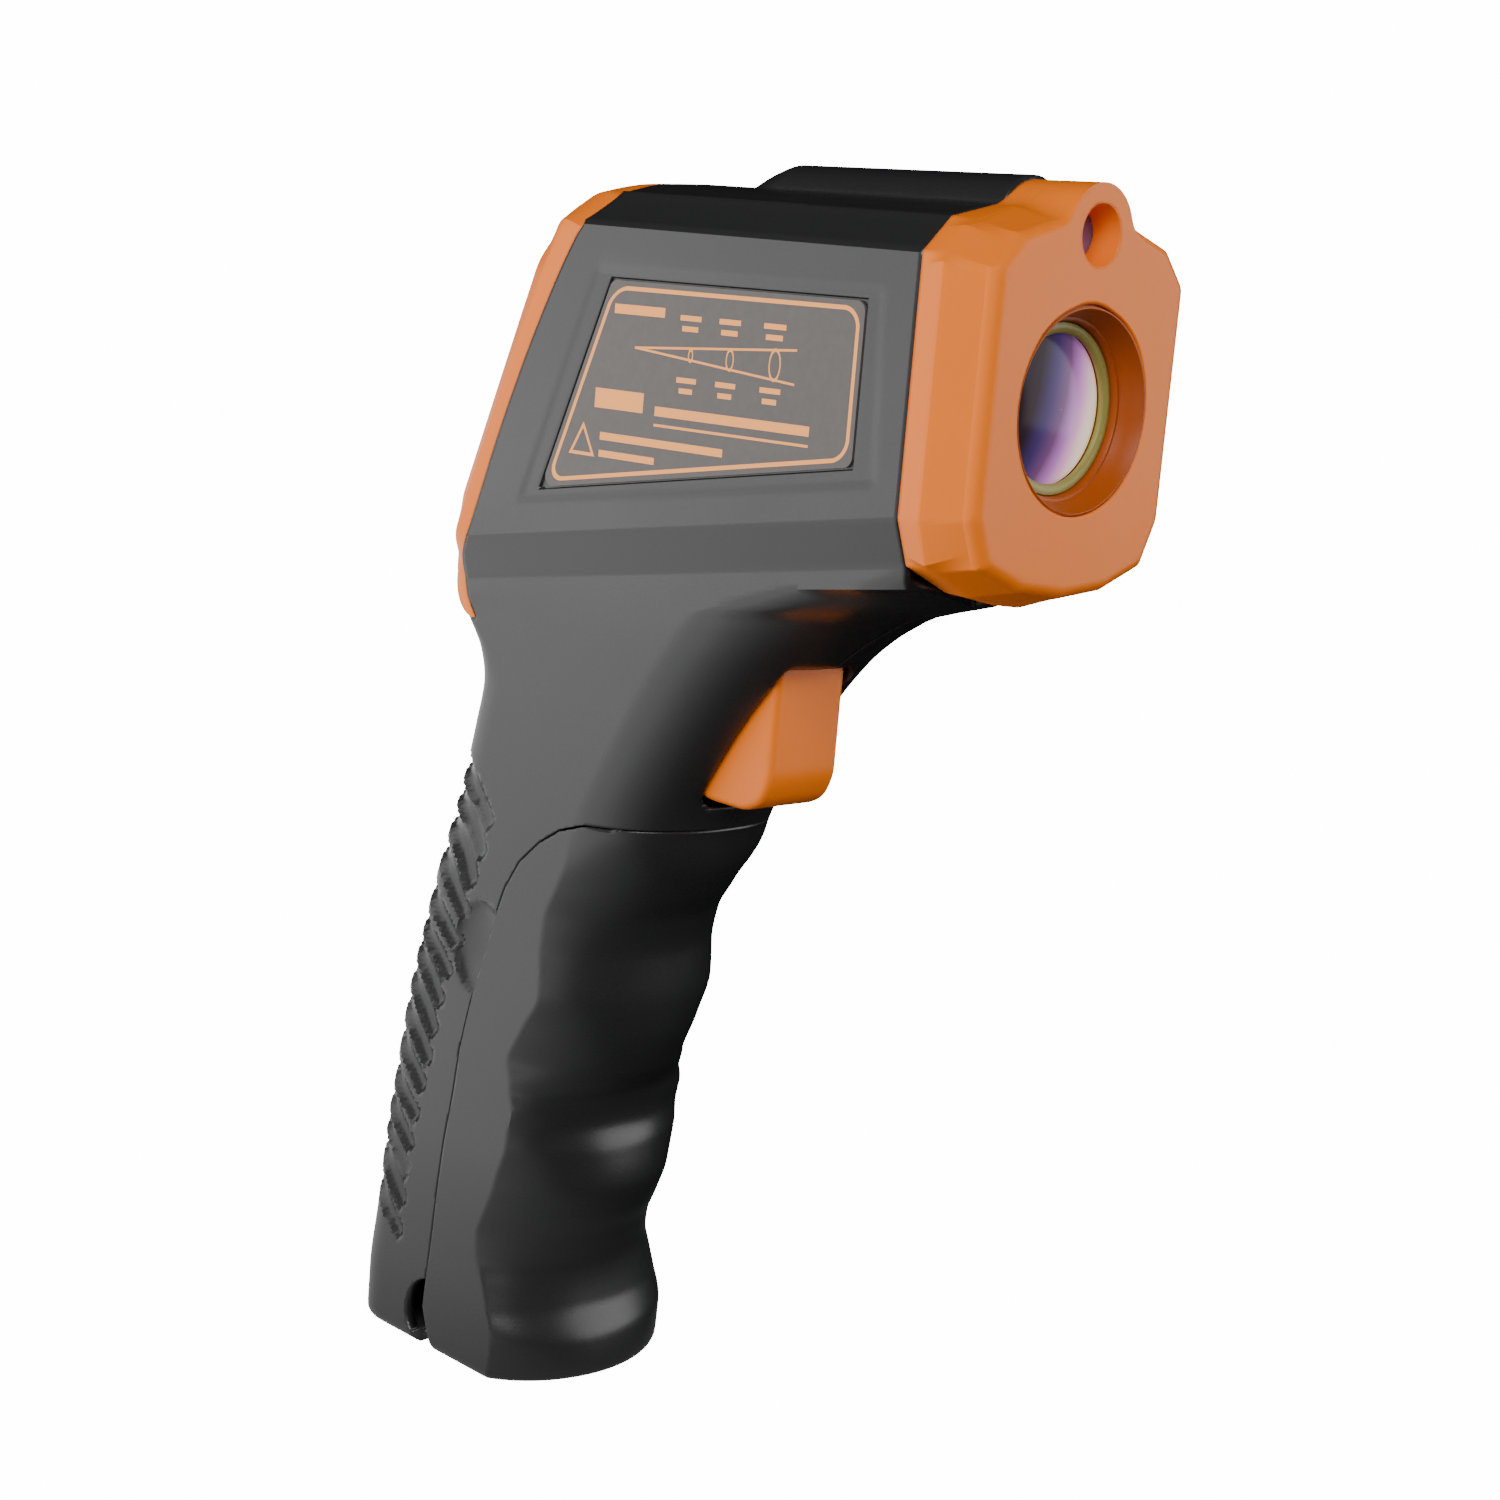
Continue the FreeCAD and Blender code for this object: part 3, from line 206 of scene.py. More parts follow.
housing = {
    "halfWidth": 17.5, "facetIn": 2.1, "facetTop": -17.9, "facetTall": 5.1, "joint": 9.6,
    "crease": -12.5, "creaseFall": 0.152, "creaseBack": 80.2, "tiltAt": 45.0, "seamRow": -33.6,
    "crown": [(0, 21.4), (7, 20.8), (13.4, 19.2)], "crownEdge": 13.0, "chamferFoot": 15.3,
    "ridgeRadius": 5.4, "ridgeAxis": 19.2, "ridgeSoft": 0.35, "ridgeEnd": 44.0, "crownRise": 0.012, "sideRise": 0.014,
    "fingerTop": -57.0, "fingerArc": 27.0,
    "seam": [(-33.6, 80.0), (-31, 81.7), (-28.5, 82.3), (-26, 81.9), (-23.2, 80.2), (-18.5, 78.4), (-9.5, 75.1),
             (3.6, 69.4), (14.4, 63.5), (16.3, 62.0), (18.0, 61.1), (19.2, 60.7), (21.4, 60.4), (25, 60.3)],
    "front": [(-12.5, -16.4), (-17.6, -8.3), (-19.8, 3.3), (-21.4, 7.8), (-22.2, 9.6), (-23.6, 14.2), (-25.5, 20.7),
              (-27.4, 24.3), (-29.4, 27.5), (-33, 32.0), (-40.5, 38.5), (-50.5, 44.8), (-55.5, 47.3), (-60.5, 49.0),
              (-65, 51.8), (-69, 54.5), (-74, 55.9), (-78.6, 56.0), (-83.6, 56.6), (-89.7, 58.8), (-93.6, 61.1),
              (-97.1, 61.7), (-101, 60.8), (-105.4, 60.3), (-109.4, 61.4), (-113.4, 63.0), (-118, 64.0),
              (-122.5, 63.5), (-127, 61.6), (-132, 61.0)],
    "back": [(-33.6, 84.4), (-37.5, 82.6), (-41, 82.2), (-47.3, 83.3), (-55.2, 85.2), (-72, 90.4), (-88.7, 94.0),
             (-101.5, 95.9), (-115, 97.3), (-125, 98.2), (-132, 98.2)],
    "round": [(-12.5, 26), (-22.2, 26), (-25.5, 21), (-29.4, 17), (-33, 14.5), (-45, 12.5), (-56, 12), (-60, 11),
              (-66, 9.8), (-73, 8.0), (-79, 7.4), (-84, 9.4), (-88, 10.2), (-92, 7.4), (-95.5, 5.4), (-100, 6.6),
              (-106, 9.0), (-112, 9.4), (-116, 8.2), (-120, 6.4), (-124, 5.6), (-128, 6.4), (-132, 7.2)],
    "wide": [(-23, 15.4), (-30, 15.3), (-40, 15.1), (-60, 15.0), (-73, 14.85), (-84, 15.05), (-96, 14.85),
             (-104, 15.05), (-117, 14.85), (-125, 15.0), (-132, 15.0)],
    "rearDeep": [(-33.6, 4.4), (-42, 7.5), (-132, 7.5)],
    "label": [(56.8, 9.7), (16.9, 9.7), (16.9, -7.9), (66.9, -15.6)], "labelColumns": [16.4, 16.7, 67.6, 67.9],
    # side rows as share of the way down, height at the label's front and at its lower back corner
    "sideRows": [(0.0, 15.1, 15.1), (0.06, 14.4, 14.4), (0.2, 10.4, 10.4), (0.212, 10.05, 10.05), (0.225, 9.7, 9.7),
                 (0.80, -7.9, -15.6), (0.812, -8.25, -15.95), (0.825, -8.6, -16.3), (0.97, -12.55, -20.3),
                 (1.0, -13.6, -21.26)],
    "slot": [(-6.35, -29), (-6.35, -50.2), (-5.7, -51.6), (-4.3, -52.3), (4.3, -52.3), (5.7, -51.6), (6.35, -50.2),
             (6.35, -29)],
    "door": [(20, -55.5), (46, -55.5), (57.4, -56.0), (61.6, -57.4), (65.1, -59.6), (68.6, -62.8), (71.1, -66.7),
             (72.7, -70.8), (75.2, -79.1), (77.8, -89.8), (79.6, -102.5), (80.6, -111.1), (81.5, -121.0),
             (81.9, -126.5), (80.6, -130.0), (78.3, -134), (20, -134)],
    # height, inset and width share of the rows that round the foot and close it
    "footRows": [(-130.2, 0.0, 1), (-131.0, 0.05, 1), (-131.5, 0.25, 1), (-131.8, 0.5, 1), (-132.0, 0.9, 1),
                 (-132.0, 0.9, 0.75), (-132.0, 0.9, 0.35), (-132.0, 0.9, 0)],
    "hinge": (80.5, -127.5), "hingeRoom": 5.1, "wall": 1.5,
}
joint, halfWidth, creaseBack, seamRow = (housing[key] for key in ("joint", "halfWidth", "creaseBack", "seamRow"))


def creaseHeight(away):
    # the crease falls in a straight line towards the back
    return housing["crease"] - housing["creaseFall"] * (away - joint)


def spread(knots, counts):
    # even steps between knots
    runs = [np.linspace(a, b, n, endpoint=False) for a, b, n in zip(knots, knots[1:], counts)]
    return np.append(np.concatenate(runs), knots[-1])


def ringLine(level, slope, inset=0.0):
    # one row of the lower housing: a quarter round front, a straight side up to the seam or the back corner;
    # the row lies in a plane that tilts by slope, and starts at the nose joint or on the middle plane
    heights = [z for z, _ in housing["front"]]
    dense = np.linspace(min(heights), max(heights), 600)
    tilt = dense + slope * (smoothLine(housing["front"], dense) - housing["tiltAt"])
    frontHeight = np.interp(level, tilt, dense)
    front = smoothLine(housing["front"], frontHeight) + inset
    deep = smoothLine(housing["round"], frontHeight) - 0.35 * inset
    if slope > 0 and level > -23:
        drop = (housing["facetTop"] - level) / housing["facetTall"]
        wide = halfWidth - housing["facetIn"] * np.clip(drop, 0, 1)
    else:
        wide = smoothLine(housing["wide"], level)
    wide = wide - inset
    # the arc stops short of a quarter where the fingers lie, which leaves a crisp edge along the side
    finger = smoothStep(0, 7, housing["fingerTop"] - level)
    last = np.pi / 2 - math.radians(housing["fingerArc"]) * finger
    turn = np.linspace(0, last, 160)
    power = 1.0 if level > -24 else 1.0 - 0.1 * smoothStep(0, 20, -24 - level) * (1 - finger)
    x = wide * (np.sin(turn) / math.sin(last)) ** power
    y = front + deep * (1 - np.cos(turn)) / (1 - math.cos(last))
    if level > seamRow - 1e-6:
        end = 75.0
        for _ in range(12):
            end = smoothLine(housing["seam"], level - slope * (end - housing["tiltAt"]))
    else:
        end = smoothLine(housing["back"], level) - inset - smoothLine(housing["rearDeep"], level) + 0.35 * inset
    start = max(front, joint)
    keep = y > start + 1e-6
    x = np.concatenate([[np.interp(start, y, x)], x[keep], [wide]])
    y = np.concatenate([[start], y[keep], [end]])
    length = np.concatenate([[0], np.cumsum(np.hypot(np.diff(x), np.diff(y)))])
    return x, y, length, end, wide


def rearCorner(level, end, wide, count, inset=0.0):
    # the back of a row: a square-shouldered quarter curve from the side to the middle plane
    back = smoothLine(housing["back"], level) - inset
    turn = np.linspace(0, np.pi / 2, count + 1)[1:]
    x = wide * np.cos(turn) ** 0.6
    y = end + (back - end) * np.sin(turn) ** 0.75
    x[-1] = 0.0
    return x, y


def crownHeight(x, y):
    # crown and ridge joined by a soft union; the ridge's bar falls away behind ridgeEnd
    base = smoothLine(housing["crown"], np.abs(x)) + housing["crownRise"] * (y - joint)
    past = y - housing["ridgeEnd"]
    fall = np.where(past > 0, 0.03 * past**2 + 0.28 * past, 0.0) - 0.003 * (y - joint)
    bar = housing["ridgeAxis"] + np.sqrt(np.maximum(housing["ridgeRadius"] ** 2 - x * x, 0)) - fall
    soft = housing["ridgeSoft"]
    gap = np.clip(0.5 + 0.5 * (bar - base) / soft, 0, 1)
    return base + (bar - base) * gap + soft * gap * (1 - gap) * 0.25


def upperHousing():
    # side, chamfer, crown and ridge of the head: rows follow the section, columns run back to the seam
    _, wallFront, wallRear, lipRear = housing["labelColumns"]
    (topBack, top), (labelFront, _), _, (footBack, foot) = housing["label"]
    # places of the columns on the crease, with a line on each side of the label recess's edges
    crease = spread([joint, *housing["labelColumns"], creaseBack], [12, 2, 78, 2, 20])
    count = len(crease)
    shareBack = (crease - joint) / (creaseBack - joint)
    rows = []
    for x in spread([0.0, 0.30, 0.37, 0.46, 1.0], [14, 10, 14, 12])[:-1] * housing["crownEdge"]:
        # the crown's seam lies at about y = 60.4
        end = smoothLine(housing["seam"], crownHeight(np.array(x), np.array(60.4)))
        y = joint + shareBack * (end - joint)
        rows.append(np.column_stack([np.full(count, x), y, crownHeight(np.full(count, x), y)]))
    # chamfer between crown edge and side, its two edges rounded
    edge = smoothLine(housing["crown"], housing["crownEdge"])
    for share in (0.0, 0.06, 0.13, 0.2, 0.35, 0.5, 0.65, 0.8, 0.87, 0.94):
        x = housing["crownEdge"] + (halfWidth - housing["crownEdge"]) * share
        bulge = np.exp(-((share - 0.06) / 0.09) ** 2) + np.exp(-((share - 0.95) / 0.08) ** 2)
        height = edge + (housing["chamferFoot"] - edge) * share + 0.105 * bulge
        y = joint + shareBack * (smoothLine(housing["seam"], height) - joint)
        height = height + housing["sideRise"] * (y - joint)
        rows.append(np.column_stack([np.full(count, x - 0.1 * (share > 0.9)), y, height]))
    # side: rows lean from level at the chamfer to the crease, meeting the label's edges
    table = np.array(housing["sideRows"])
    for share in spread(table[:, 0], [3, 6, 2, 2, 34, 2, 2, 8, 4]):
        front, back = (np.interp(share, table[:, 0], table[:, k]) for k in (1, 2))
        y = crease.copy()
        for _ in range(10):
            height = front + (back - front) * (y - labelFront) / (footBack - labelFront)
            height = height + (housing["sideRise"] * (y - joint) if share < 0.15 else 0.0)
            end = smoothLine(housing["seam"], height)
            labelBack = topBack + (footBack - topBack) * (top - height) / (top - foot)
            middle = wallFront + (crease - wallFront) / (wallRear - wallFront) * (labelBack + 0.2 - wallFront)
            lip = labelBack + 0.2 + (crease - wallRear)
            rest = labelBack + 0.5 + (crease - lipRear) / (creaseBack - lipRear) * (end - labelBack - 0.5)
            y = np.select([crease <= wallFront, crease <= wallRear, crease <= lipRear], [crease, middle, lip], rest)
        if share > 0.999:
            y = crease.copy()
            height = creaseHeight(y)
        rows.append(np.column_stack([np.full(count, halfWidth), y, np.maximum(height, creaseHeight(y))]))
    return np.stack(rows), crease


def lowerHousing(crease):
    # from the crease to the seam's lowest row, then the grip down to the foot; columns are spaced by
    # their share of each row's length so that the first row meets the crease's columns
    shares = (crease - joint) / (creaseBack - joint)
    rows = []
    for level in np.concatenate([np.linspace(housing["facetTop"], -23.0, 10), np.linspace(-23.4, seamRow, 20)]):
        slope = housing["creaseFall"] * (1 - smoothStep(0, 1, (-23.0 - level) / (-23.0 - seamRow)))
        x, y, length = ringLine(level, slope)[:3]
        at = shares * length[-1]
        yRow = np.interp(at, length, y)
        height = level - slope * (yRow - housing["tiltAt"])
        rows.append(np.column_stack([np.interp(at, length, x), yRow, height]))
    head = np.stack(rows)
    head[0] = np.column_stack([np.full(len(crease), halfWidth), crease, creaseHeight(crease)])
    straight = [(level, 0.0, 1) for level in spread([seamRow, -129.0], [176])]
    rows = []
    for level, inset, narrow in straight + housing["footRows"]:
        x, y, length, end, wide = ringLine(level - (1e-5 if level < seamRow - 1e-3 else 0), 0.0, inset)
        at = shares * length[-1]
        xRear, yRear = rearCorner(level, end, wide, 34, inset)
        xAll = np.concatenate([np.interp(at, length, x), xRear]) * narrow
        yAll = np.concatenate([np.interp(at, length, y), yRear])
        rows.append(np.column_stack([xAll, yAll, np.full(len(xAll), level)]))
    return head, np.stack(rows)


# ---- surface detail of the housing ----

detail = {
    "labelDeep": 0.5, "grooveRadius": 1.35, "grooveDeep": 0.85, "grooveRise": 9.0,
    "grooveEnds": [(75.5, -59.1), (76.8, -63.3), (78.0, -67.2), (79.3, -71.2), (80.6, -75.8), (81.6, -80.0),
                   (82.7, -84.1), (83.7, -88.4), (84.6, -92.5), (85.5, -96.4), (86.3, -100.7), (87.0, -105.0),
                   (87.8, -109.2), (88.5, -113.2), (89.4, -117.5)],
    "scoop": (75.2, -75.8), "scoopSize": 5.6, "scoopDeep": 1.3, "doorGap": 0.26,
    "rim": [(59.4, 11.0), (14.6, 10.6), (13.4, -9.4), (70.6, -17.6)], "rimDeep": 0.14,
    "slotSoft": 0.6, "sideColumns": 110,
}


def recessLabel(grid):
    # the side sinks a little inside the rim and by the recess's whole depth just outside the label's outline
    inside = insideDistance(grid[:, :, 1], grid[:, :, 2], housing["label"])
    sunk = grid.copy()
    around = insideDistance(grid[:, :, 1], grid[:, :, 2], detail["rim"])
    sunk[:, :, 0] -= (detail["labelDeep"] - detail["rimDeep"]) * smoothStep(-0.36, -0.2, inside)
    sunk[:, :, 0] -= detail["rimDeep"] * smoothStep(-0.35, 0.35, around)
    return sunk


def softEdge(distance, radius):
    # how far a surface falls within a radius of a cut: a quarter circle
    near = np.clip(distance, 0, radius)
    return radius - np.sqrt(np.maximum(radius**2 - (radius - near) ** 2, 0))


def doorDistance(x, y, z):
    return insideDistance(y, z, housing["door"])


def slotDistance(x, y, z):
    # positive outside the trigger's slot, which opens only the front of the grip
    front = -insideDistance(x, z, housing["slot"])
    return np.where((y < 62) & (z < -26), np.maximum(front, np.minimum(z + 33.2, 4.0)), 5.0)


def shellKeeps(x, y, z):
    # the part of the grip that isn't battery door
    return -doorDistance(x, y, z) - detail["doorGap"]


def hingeKeeps(x, y, z):
    # clear of the round room that the door's lower edge swings through
    return np.hypot(y - housing["hinge"][0], z - housing["hinge"][1]) - housing["hingeRoom"]


def detailedGrip(grid):
    # slanted half-round grooves round the back corner, a thumb scoop, and a softened edge at the trigger's slot
    x, y, z = grid[:, :, 0], grid[:, :, 1], grid[:, :, 2]
    step = np.hypot(np.diff(x, axis=1), np.diff(y, axis=1))
    length = np.concatenate([np.zeros((len(x), 1)), np.cumsum(step, axis=1)], axis=1)
    sink = np.zeros(x.shape)
    rise, columns = detail["grooveRise"], detail["sideColumns"]
    for endBack, endHigh in detail["grooveEnds"]:
        row = np.abs(z[:, 0] - endHigh).argmin()
        start = np.interp(endBack, y[row, :columns], length[row, :columns])
        along = length - start + (z - endHigh) * -0.08
        centre = endHigh + rise * np.tanh(np.maximum(along, 0) / rise)
        lean = 1.0 / np.sqrt(1.0 + (1.0 / np.cosh(np.maximum(along, 0) / rise)) ** 4)
        away = np.where(along > 0, np.abs(z - centre) * lean, np.hypot(along, z - endHigh))
        inside = np.maximum(1.0 - (away / detail["grooveRadius"]) ** 2, 0)
        sink = np.maximum(sink, detail["grooveDeep"] * np.sqrt(inside) * smoothStep(0, 0.35, inside))
    fromScoop = np.hypot((y - detail["scoop"][0]) * 1.1, (z - detail["scoop"][1]) * 0.9)
    hollow = np.sqrt(np.maximum(1.0 - (fromScoop / detail["scoopSize"]) ** 2, 0))
    sink += np.where(x > 10, detail["scoopDeep"] * hollow, 0)
    sink = np.where(doorDistance(x, y, z) > -0.1, 0, sink)
    sink += softEdge(slotDistance(x, y, z), detail["slotSoft"]) * (z > -60)
    return grid - gridNormals(grid) * sink[:, :, None]


def mirrored(grid, sign):
    return grid * np.array([sign, 1.0, 1.0])


upper, crease = upperHousing()
lower, grip = lowerHousing(crease)
upper = recessLabel(upper)
joined = lower.shape[1]
grip[0, :joined] = lower[-1]
slotFall = softEdge(slotDistance(*np.moveaxis(lower, 2, 0)), detail["slotSoft"]) * (lower[:, :, 2] < -30)
lower = lower - gridNormals(lower) * slotFall[:, :, None]
grip = detailedGrip(grip)
grip[0, :joined] = lower[-1]
print("housing surfaces", upper.shape, lower.shape, grip.shape)


# ---- materials ----

def feed(tree, node, values):
    # fills a node's inputs: a socket is linked, anything else is set
    for key, value in values.items():
        if isinstance(value, bpy.types.NodeSocket):
            tree.links.new(value, node.inputs[key])
        else:
            node.inputs[key].default_value = value


def sums(tree, operation, a, b=0.0, c=0.5):
    # one step of arithmetic on sockets or numbers
    node = tree.nodes.new("ShaderNodeMath")
    node.operation = operation
    feed(tree, node, {0: a, 1: b, 2: c})
    return node.outputs[0]


def objectNoise(tree, scale, detailLevel=2.0):
    noise = tree.nodes.new("ShaderNodeTexNoise")
    where = tree.nodes.new("ShaderNodeTexCoord").outputs["Object"]
    feed(tree, noise, {"Vector": where, "Scale": scale, "Detail": detailLevel})
    return noise.outputs["Fac"]


def objectAxes(tree):
    split = tree.nodes.new("ShaderNodeSeparateXYZ")
    feed(tree, split, {0: tree.nodes.new("ShaderNodeTexCoord").outputs["Object"]})
    return split.outputs


def relief(tree, height, strength, distance):
    bump = tree.nodes.new("ShaderNodeBump")
    feed(tree, bump, {"Strength": strength, "Distance": distance, "Height": height})
    return bump.outputs["Normal"]


def newMaterial(name):
    # a node material, its tree and its main shader
    material = bpy.data.materials.new(name)
    material.use_nodes = True
    return material, material.node_tree, material.node_tree.nodes["Principled BSDF"]


def mouldedGroup():
    # moulded plastic: fine noise for the spark-eroded skin, slow noise for sink and haze;
    # gives a height for bump, a roughness and a colour
    group = bpy.data.node_groups.new("MouldedPlastic", "ShaderNodeTree")
    for label, kind, value in (("Color", "Color", (0.1, 0.1, 0.1, 1)), ("Roughness", "Float", 0.35),
                               ("Grain Scale", "Float", 2600.0), ("Shade", "Float", 0.08)):
        socket = group.interface.new_socket(name=label, in_out="INPUT", socket_type="NodeSocket" + kind)
        socket.default_value = value
    for label, kind in (("Color", "Color"), ("Roughness", "Float"), ("Height", "Float")):
        group.interface.new_socket(name=label, in_out="OUTPUT", socket_type="NodeSocket" + kind)
    given = group.nodes.new("NodeGroupInput").outputs
    grain = objectNoise(group, given["Grain Scale"], 3.0)
    centred = sums(group, "SUBTRACT", objectNoise(group, 38.0, 4.0), 0.5)
    rough = sums(group, "MULTIPLY_ADD", centred, 0.16, given["Roughness"])
    tint = group.nodes.new("ShaderNodeVectorMath")
    tint.operation = "SCALE"
    feed(group, tint, {0: given["Color"], "Scale": sums(group, "MULTIPLY_ADD", centred, given["Shade"], 1.0)})
    feed(group, group.nodes.new("NodeGroupOutput"), {
        "Color": tint.outputs[0], "Roughness": sums(group, "MULTIPLY_ADD", grain, 0.06, rough), "Height": grain})
    return group


moulded = mouldedGroup()


def plastic(name, color, roughness=0.35, grain=2600.0, bump=0.06, shade=0.1, metallic=0.0, ior=1.5):
    # a plastic or metal with the moulded skin on colour, roughness and bump
    material, tree, shader = newMaterial(name)
    skin = tree.nodes.new("ShaderNodeGroup")
    skin.node_tree = moulded
    feed(tree, skin, {"Color": (*color, 1), "Roughness": roughness, "Grain Scale": grain, "Shade": shade})
    feed(tree, shader, {"Base Color": skin.outputs["Color"], "Roughness": skin.outputs["Roughness"],
                        "Normal": relief(tree, skin.outputs["Height"], bump, 0.0002),
                        "Metallic": metallic, "IOR": ior})
    return material


shellGrey = plastic("shellGrey", (0.020, 0.020, 0.021), 0.30, bump=0.04, shade=0.1)
bezelOrange = plastic("bezelOrange", (0.97, 0.205, 0.006), 0.38, bump=0.05, shade=0.06, ior=1.33)
# a darker copy of the bezel's orange for the recess walls: painted shade inside the recess
throatPaintedShade = plastic("throatPaintedShade", (0.40, 0.075, 0.003), 0.4, bump=0.05, shade=0.06, ior=1.33)
triggerOrange = plastic("triggerOrange", (0.95, 0.20, 0.006), 0.34, bump=0.05, shade=0.06, ior=1.35)


# ---- housing halves and battery door ----

for side, sign in (("left", 1), ("right", -1)):
    parts = [(mirrored(grid, sign), gridFaces(*grid.shape[:2])) for grid in (upper, lower, grip)]
    makePiece(side + "Shell", parts, "housing", shellGrey, [side + "_shell"], thick=housing["wall"],
              trims=[shellKeeps, slotDistance, hingeKeeps], flip=sign > 0)

doorParts = []
for sign in (1, -1):
    faces = gridFaces(*grip.shape[:2])
    doorParts.append((mirrored(grip, sign), faces[:, ::-1] if sign > 0 else faces))
makePiece("batteryDoor", doorParts, "door", shellGrey, ["battery_door"], thick=housing["wall"],
          trims=[lambda x, y, z: np.where(z > -54, -1.0, doorDistance(x, y, z))])


# ---- nose bezel ----

nose = {
    # outlines of the right half at their distances back from the face
    "sections": [
        (0.0, [(0, 19.3), (6.5, 18.6), (11.5, 16.9), (14.9, 13.6), (14.9, -11.4), (12.8, -15.9), (6.9, -18.1),
               (0, -18.8)]),
        (1.6, [(0, 20.4), (7.2, 19.7), (13, 18.0), (16.5, 14.2), (16.5, -11.8), (14.2, -17.0), (7.4, -19.6),
               (0, -20.4)]),
        (6.0, [(0, 21.4), (7.6, 20.8), (15, 18.3), (18.4, 14.4), (18.4, -12.3), (16.7, -17.1), (8.5, -20.7),
               (0, -22)]),
        (9.55, [(0, 21.4), (7, 20.8), (13.4, 19.2), (17.5, 15.3), (17.5, -12.5), (15.4, -17.6), (8.5, -20.6),
                (0, -22.2)])],
    "boss": (0.0, 18.7), "bossRadius": 5.4, "bossBlend": 2.2, "mouth": 11.05, "turns": 520,
    # recess walls and laser hole as (radius, distance back)
    "throat": [(11.05, 0.0), (10.9, 0.05), (10.8, 0.18), (10.35, 1.5), (9.95, 2.55), (9.88, 2.66), (9.62, 2.7),
               (9.55, 2.78), (9.4, 3.4), (9.4, 5.0), (9.4, 6.6)],
    "laser": [(3.45, 0.0), (3.34, 0.04), (3.28, 0.15), (2.95, 1.6), (2.5, 3.0), (2.5, 4.3)], "laserAxis": (0, 18.6),
    "laserTurns": 96,
}


def noseRadius(section, turn):
    # distance from the lens axis to the outline: the section and the laser's boss joined by a soft union
    half = np.array(section)
    outline = np.vstack([half, half[::-1][1:-1] * [-1, 1]])
    low, high = np.zeros_like(turn), np.full_like(turn, 40.0)
    for _ in range(34):
        middle = 0.5 * (low + high)
        x, z = middle * np.cos(turn), middle * np.sin(turn)
        body = insideDistance(x, z, outline)
        boss = nose["bossRadius"] - np.hypot(x - nose["boss"][0], z - nose["boss"][1])
        blend = np.maximum(nose["bossBlend"] - np.abs(body - boss), 0) / nose["bossBlend"]
        field = np.maximum(body, boss) + blend**2 * nose["bossBlend"] * 0.25
        low = np.where(field > 0, middle, low)
        high = np.where(field > 0, high, middle)
    return 0.5 * (low + high)


def noseSurfaces():
    # rows of outlines from the joint forward to the face, then the face in to the recess's mouth
    turn = np.linspace(0, 2 * np.pi, nose["turns"], endpoint=False)
    radii = [noseRadius(section, turn) for _, section in nose["sections"]]
    places = [place for place, _ in nose["sections"]]

    def row(radius, away):
        return np.column_stack([radius * np.cos(turn), np.broadcast_to(away, turn.shape), radius * np.sin(turn)])

    def between(first, share):
        return radii[first] + (radii[first + 1] - radii[first]) * share

    # the rows at the widest outline sink a little, which rounds the ridge there
    steps = [(away, 0.0) for away in np.linspace(9.55, 6.45, 8)] + [(6.25, 0.02), (6.05, 0.06), (5.85, 0.02)]
    steps += [(away, 0.0) for away in np.linspace(5.6, 1.75, 9)]
    rows = []
    for away, drop in steps:
        first = 2 if away > places[2] else 1
        rows.append(row(between(first, (away - places[first]) / (places[first + 1] - places[first])) - drop, away))
    for angle in np.linspace(np.pi / 2, 0, 9):
        rows.append(row(between(0, np.sin(angle)), places[1] * (1 - np.cos(angle))))
    shares = np.concatenate([np.linspace(1, 0.06, 44), [0.03]])
    face = [row(nose["mouth"] + (radii[0] - nose["mouth"]) * share, 0.0) for share in shares]
    return np.stack(rows), np.stack(face)


def turnedSurface(profile, count, centre=(0.0, 0.0)):
    # a profile of (radius, distance back) turned about an axis along y
    turn = np.linspace(0, 2 * np.pi, count, endpoint=False)
    profile = np.array(profile, float)
    radius, away = profile[:, 0][:, None], profile[:, 1][:, None]
    return np.stack([centre[0] + radius * np.cos(turn), away + 0 * turn, centre[1] + radius * np.sin(turn)], axis=-1)


def ringPart(grid):
    # a surface whose columns close round, with its faces
    return grid, gridFaces(*grid.shape[:2], closed=True)


def laserKeeps(x, y, z):
    # outside the laser's hole in the face
    hole = np.hypot(x - nose["laserAxis"][0], z - nose["laserAxis"][1]) - nose["laser"][0][0]
    return np.where((y < 0.02) & (z > 12), hole, 5.0)


laserWall = turnedSurface(nose["laser"], nose["laserTurns"], nose["laserAxis"])
# the hole's wall starts a hair behind the face
noseParts = [ringPart(grid) for grid in (*noseSurfaces(), laserWall + np.array([0, 1e-3, 0]))]
makePiece("noseBezel", noseParts, "housing", bezelOrange, ["nose_bezel"], trims=[laserKeeps], thick=1.0, smooth=13)
# the recess walls take the darker orange, which is painted shade
makePiece("noseThroat", [ringPart(turnedSurface(nose["throat"], nose["turns"]))], "housing", throatPaintedShade, thick=0.8)


# ---- rear bezel ----

rear = {"origin": (77.6, -2.2), "tilt": 21.0, "window": (21.1, 18.1, 5.6), "windowCorner": 1.6,
        "keys": [(-8.6, -11.0), (0, -11.0), (8.6, -11.0)], "keyHole": (7.1, 5.7), "keyCorner": 1.7, "around": 420,
        "faceHalf": 15.3, "faceLow": -21.5, "faceHigh": 18.3, "faceCorner": 5.0}


def rearPoint(across, up, out):
    # rear-face coordinates to the optical axes; across runs to -x
    tilt = math.radians(rear["tilt"])
    y = rear["origin"][0] - math.sin(tilt) * up + math.cos(tilt) * out
    z = rear["origin"][1] + math.cos(tilt) * up + math.sin(tilt) * out
    return np.stack([-across + 0 * y, y, z], axis=-1)


def rearCoordinates(x, y, z):
    tilt = math.radians(rear["tilt"])
    dy, dz = y - rear["origin"][0], z - rear["origin"][1]
    return -x, -math.sin(tilt) * dy + math.cos(tilt) * dz, math.cos(tilt) * dy + math.sin(tilt) * dz


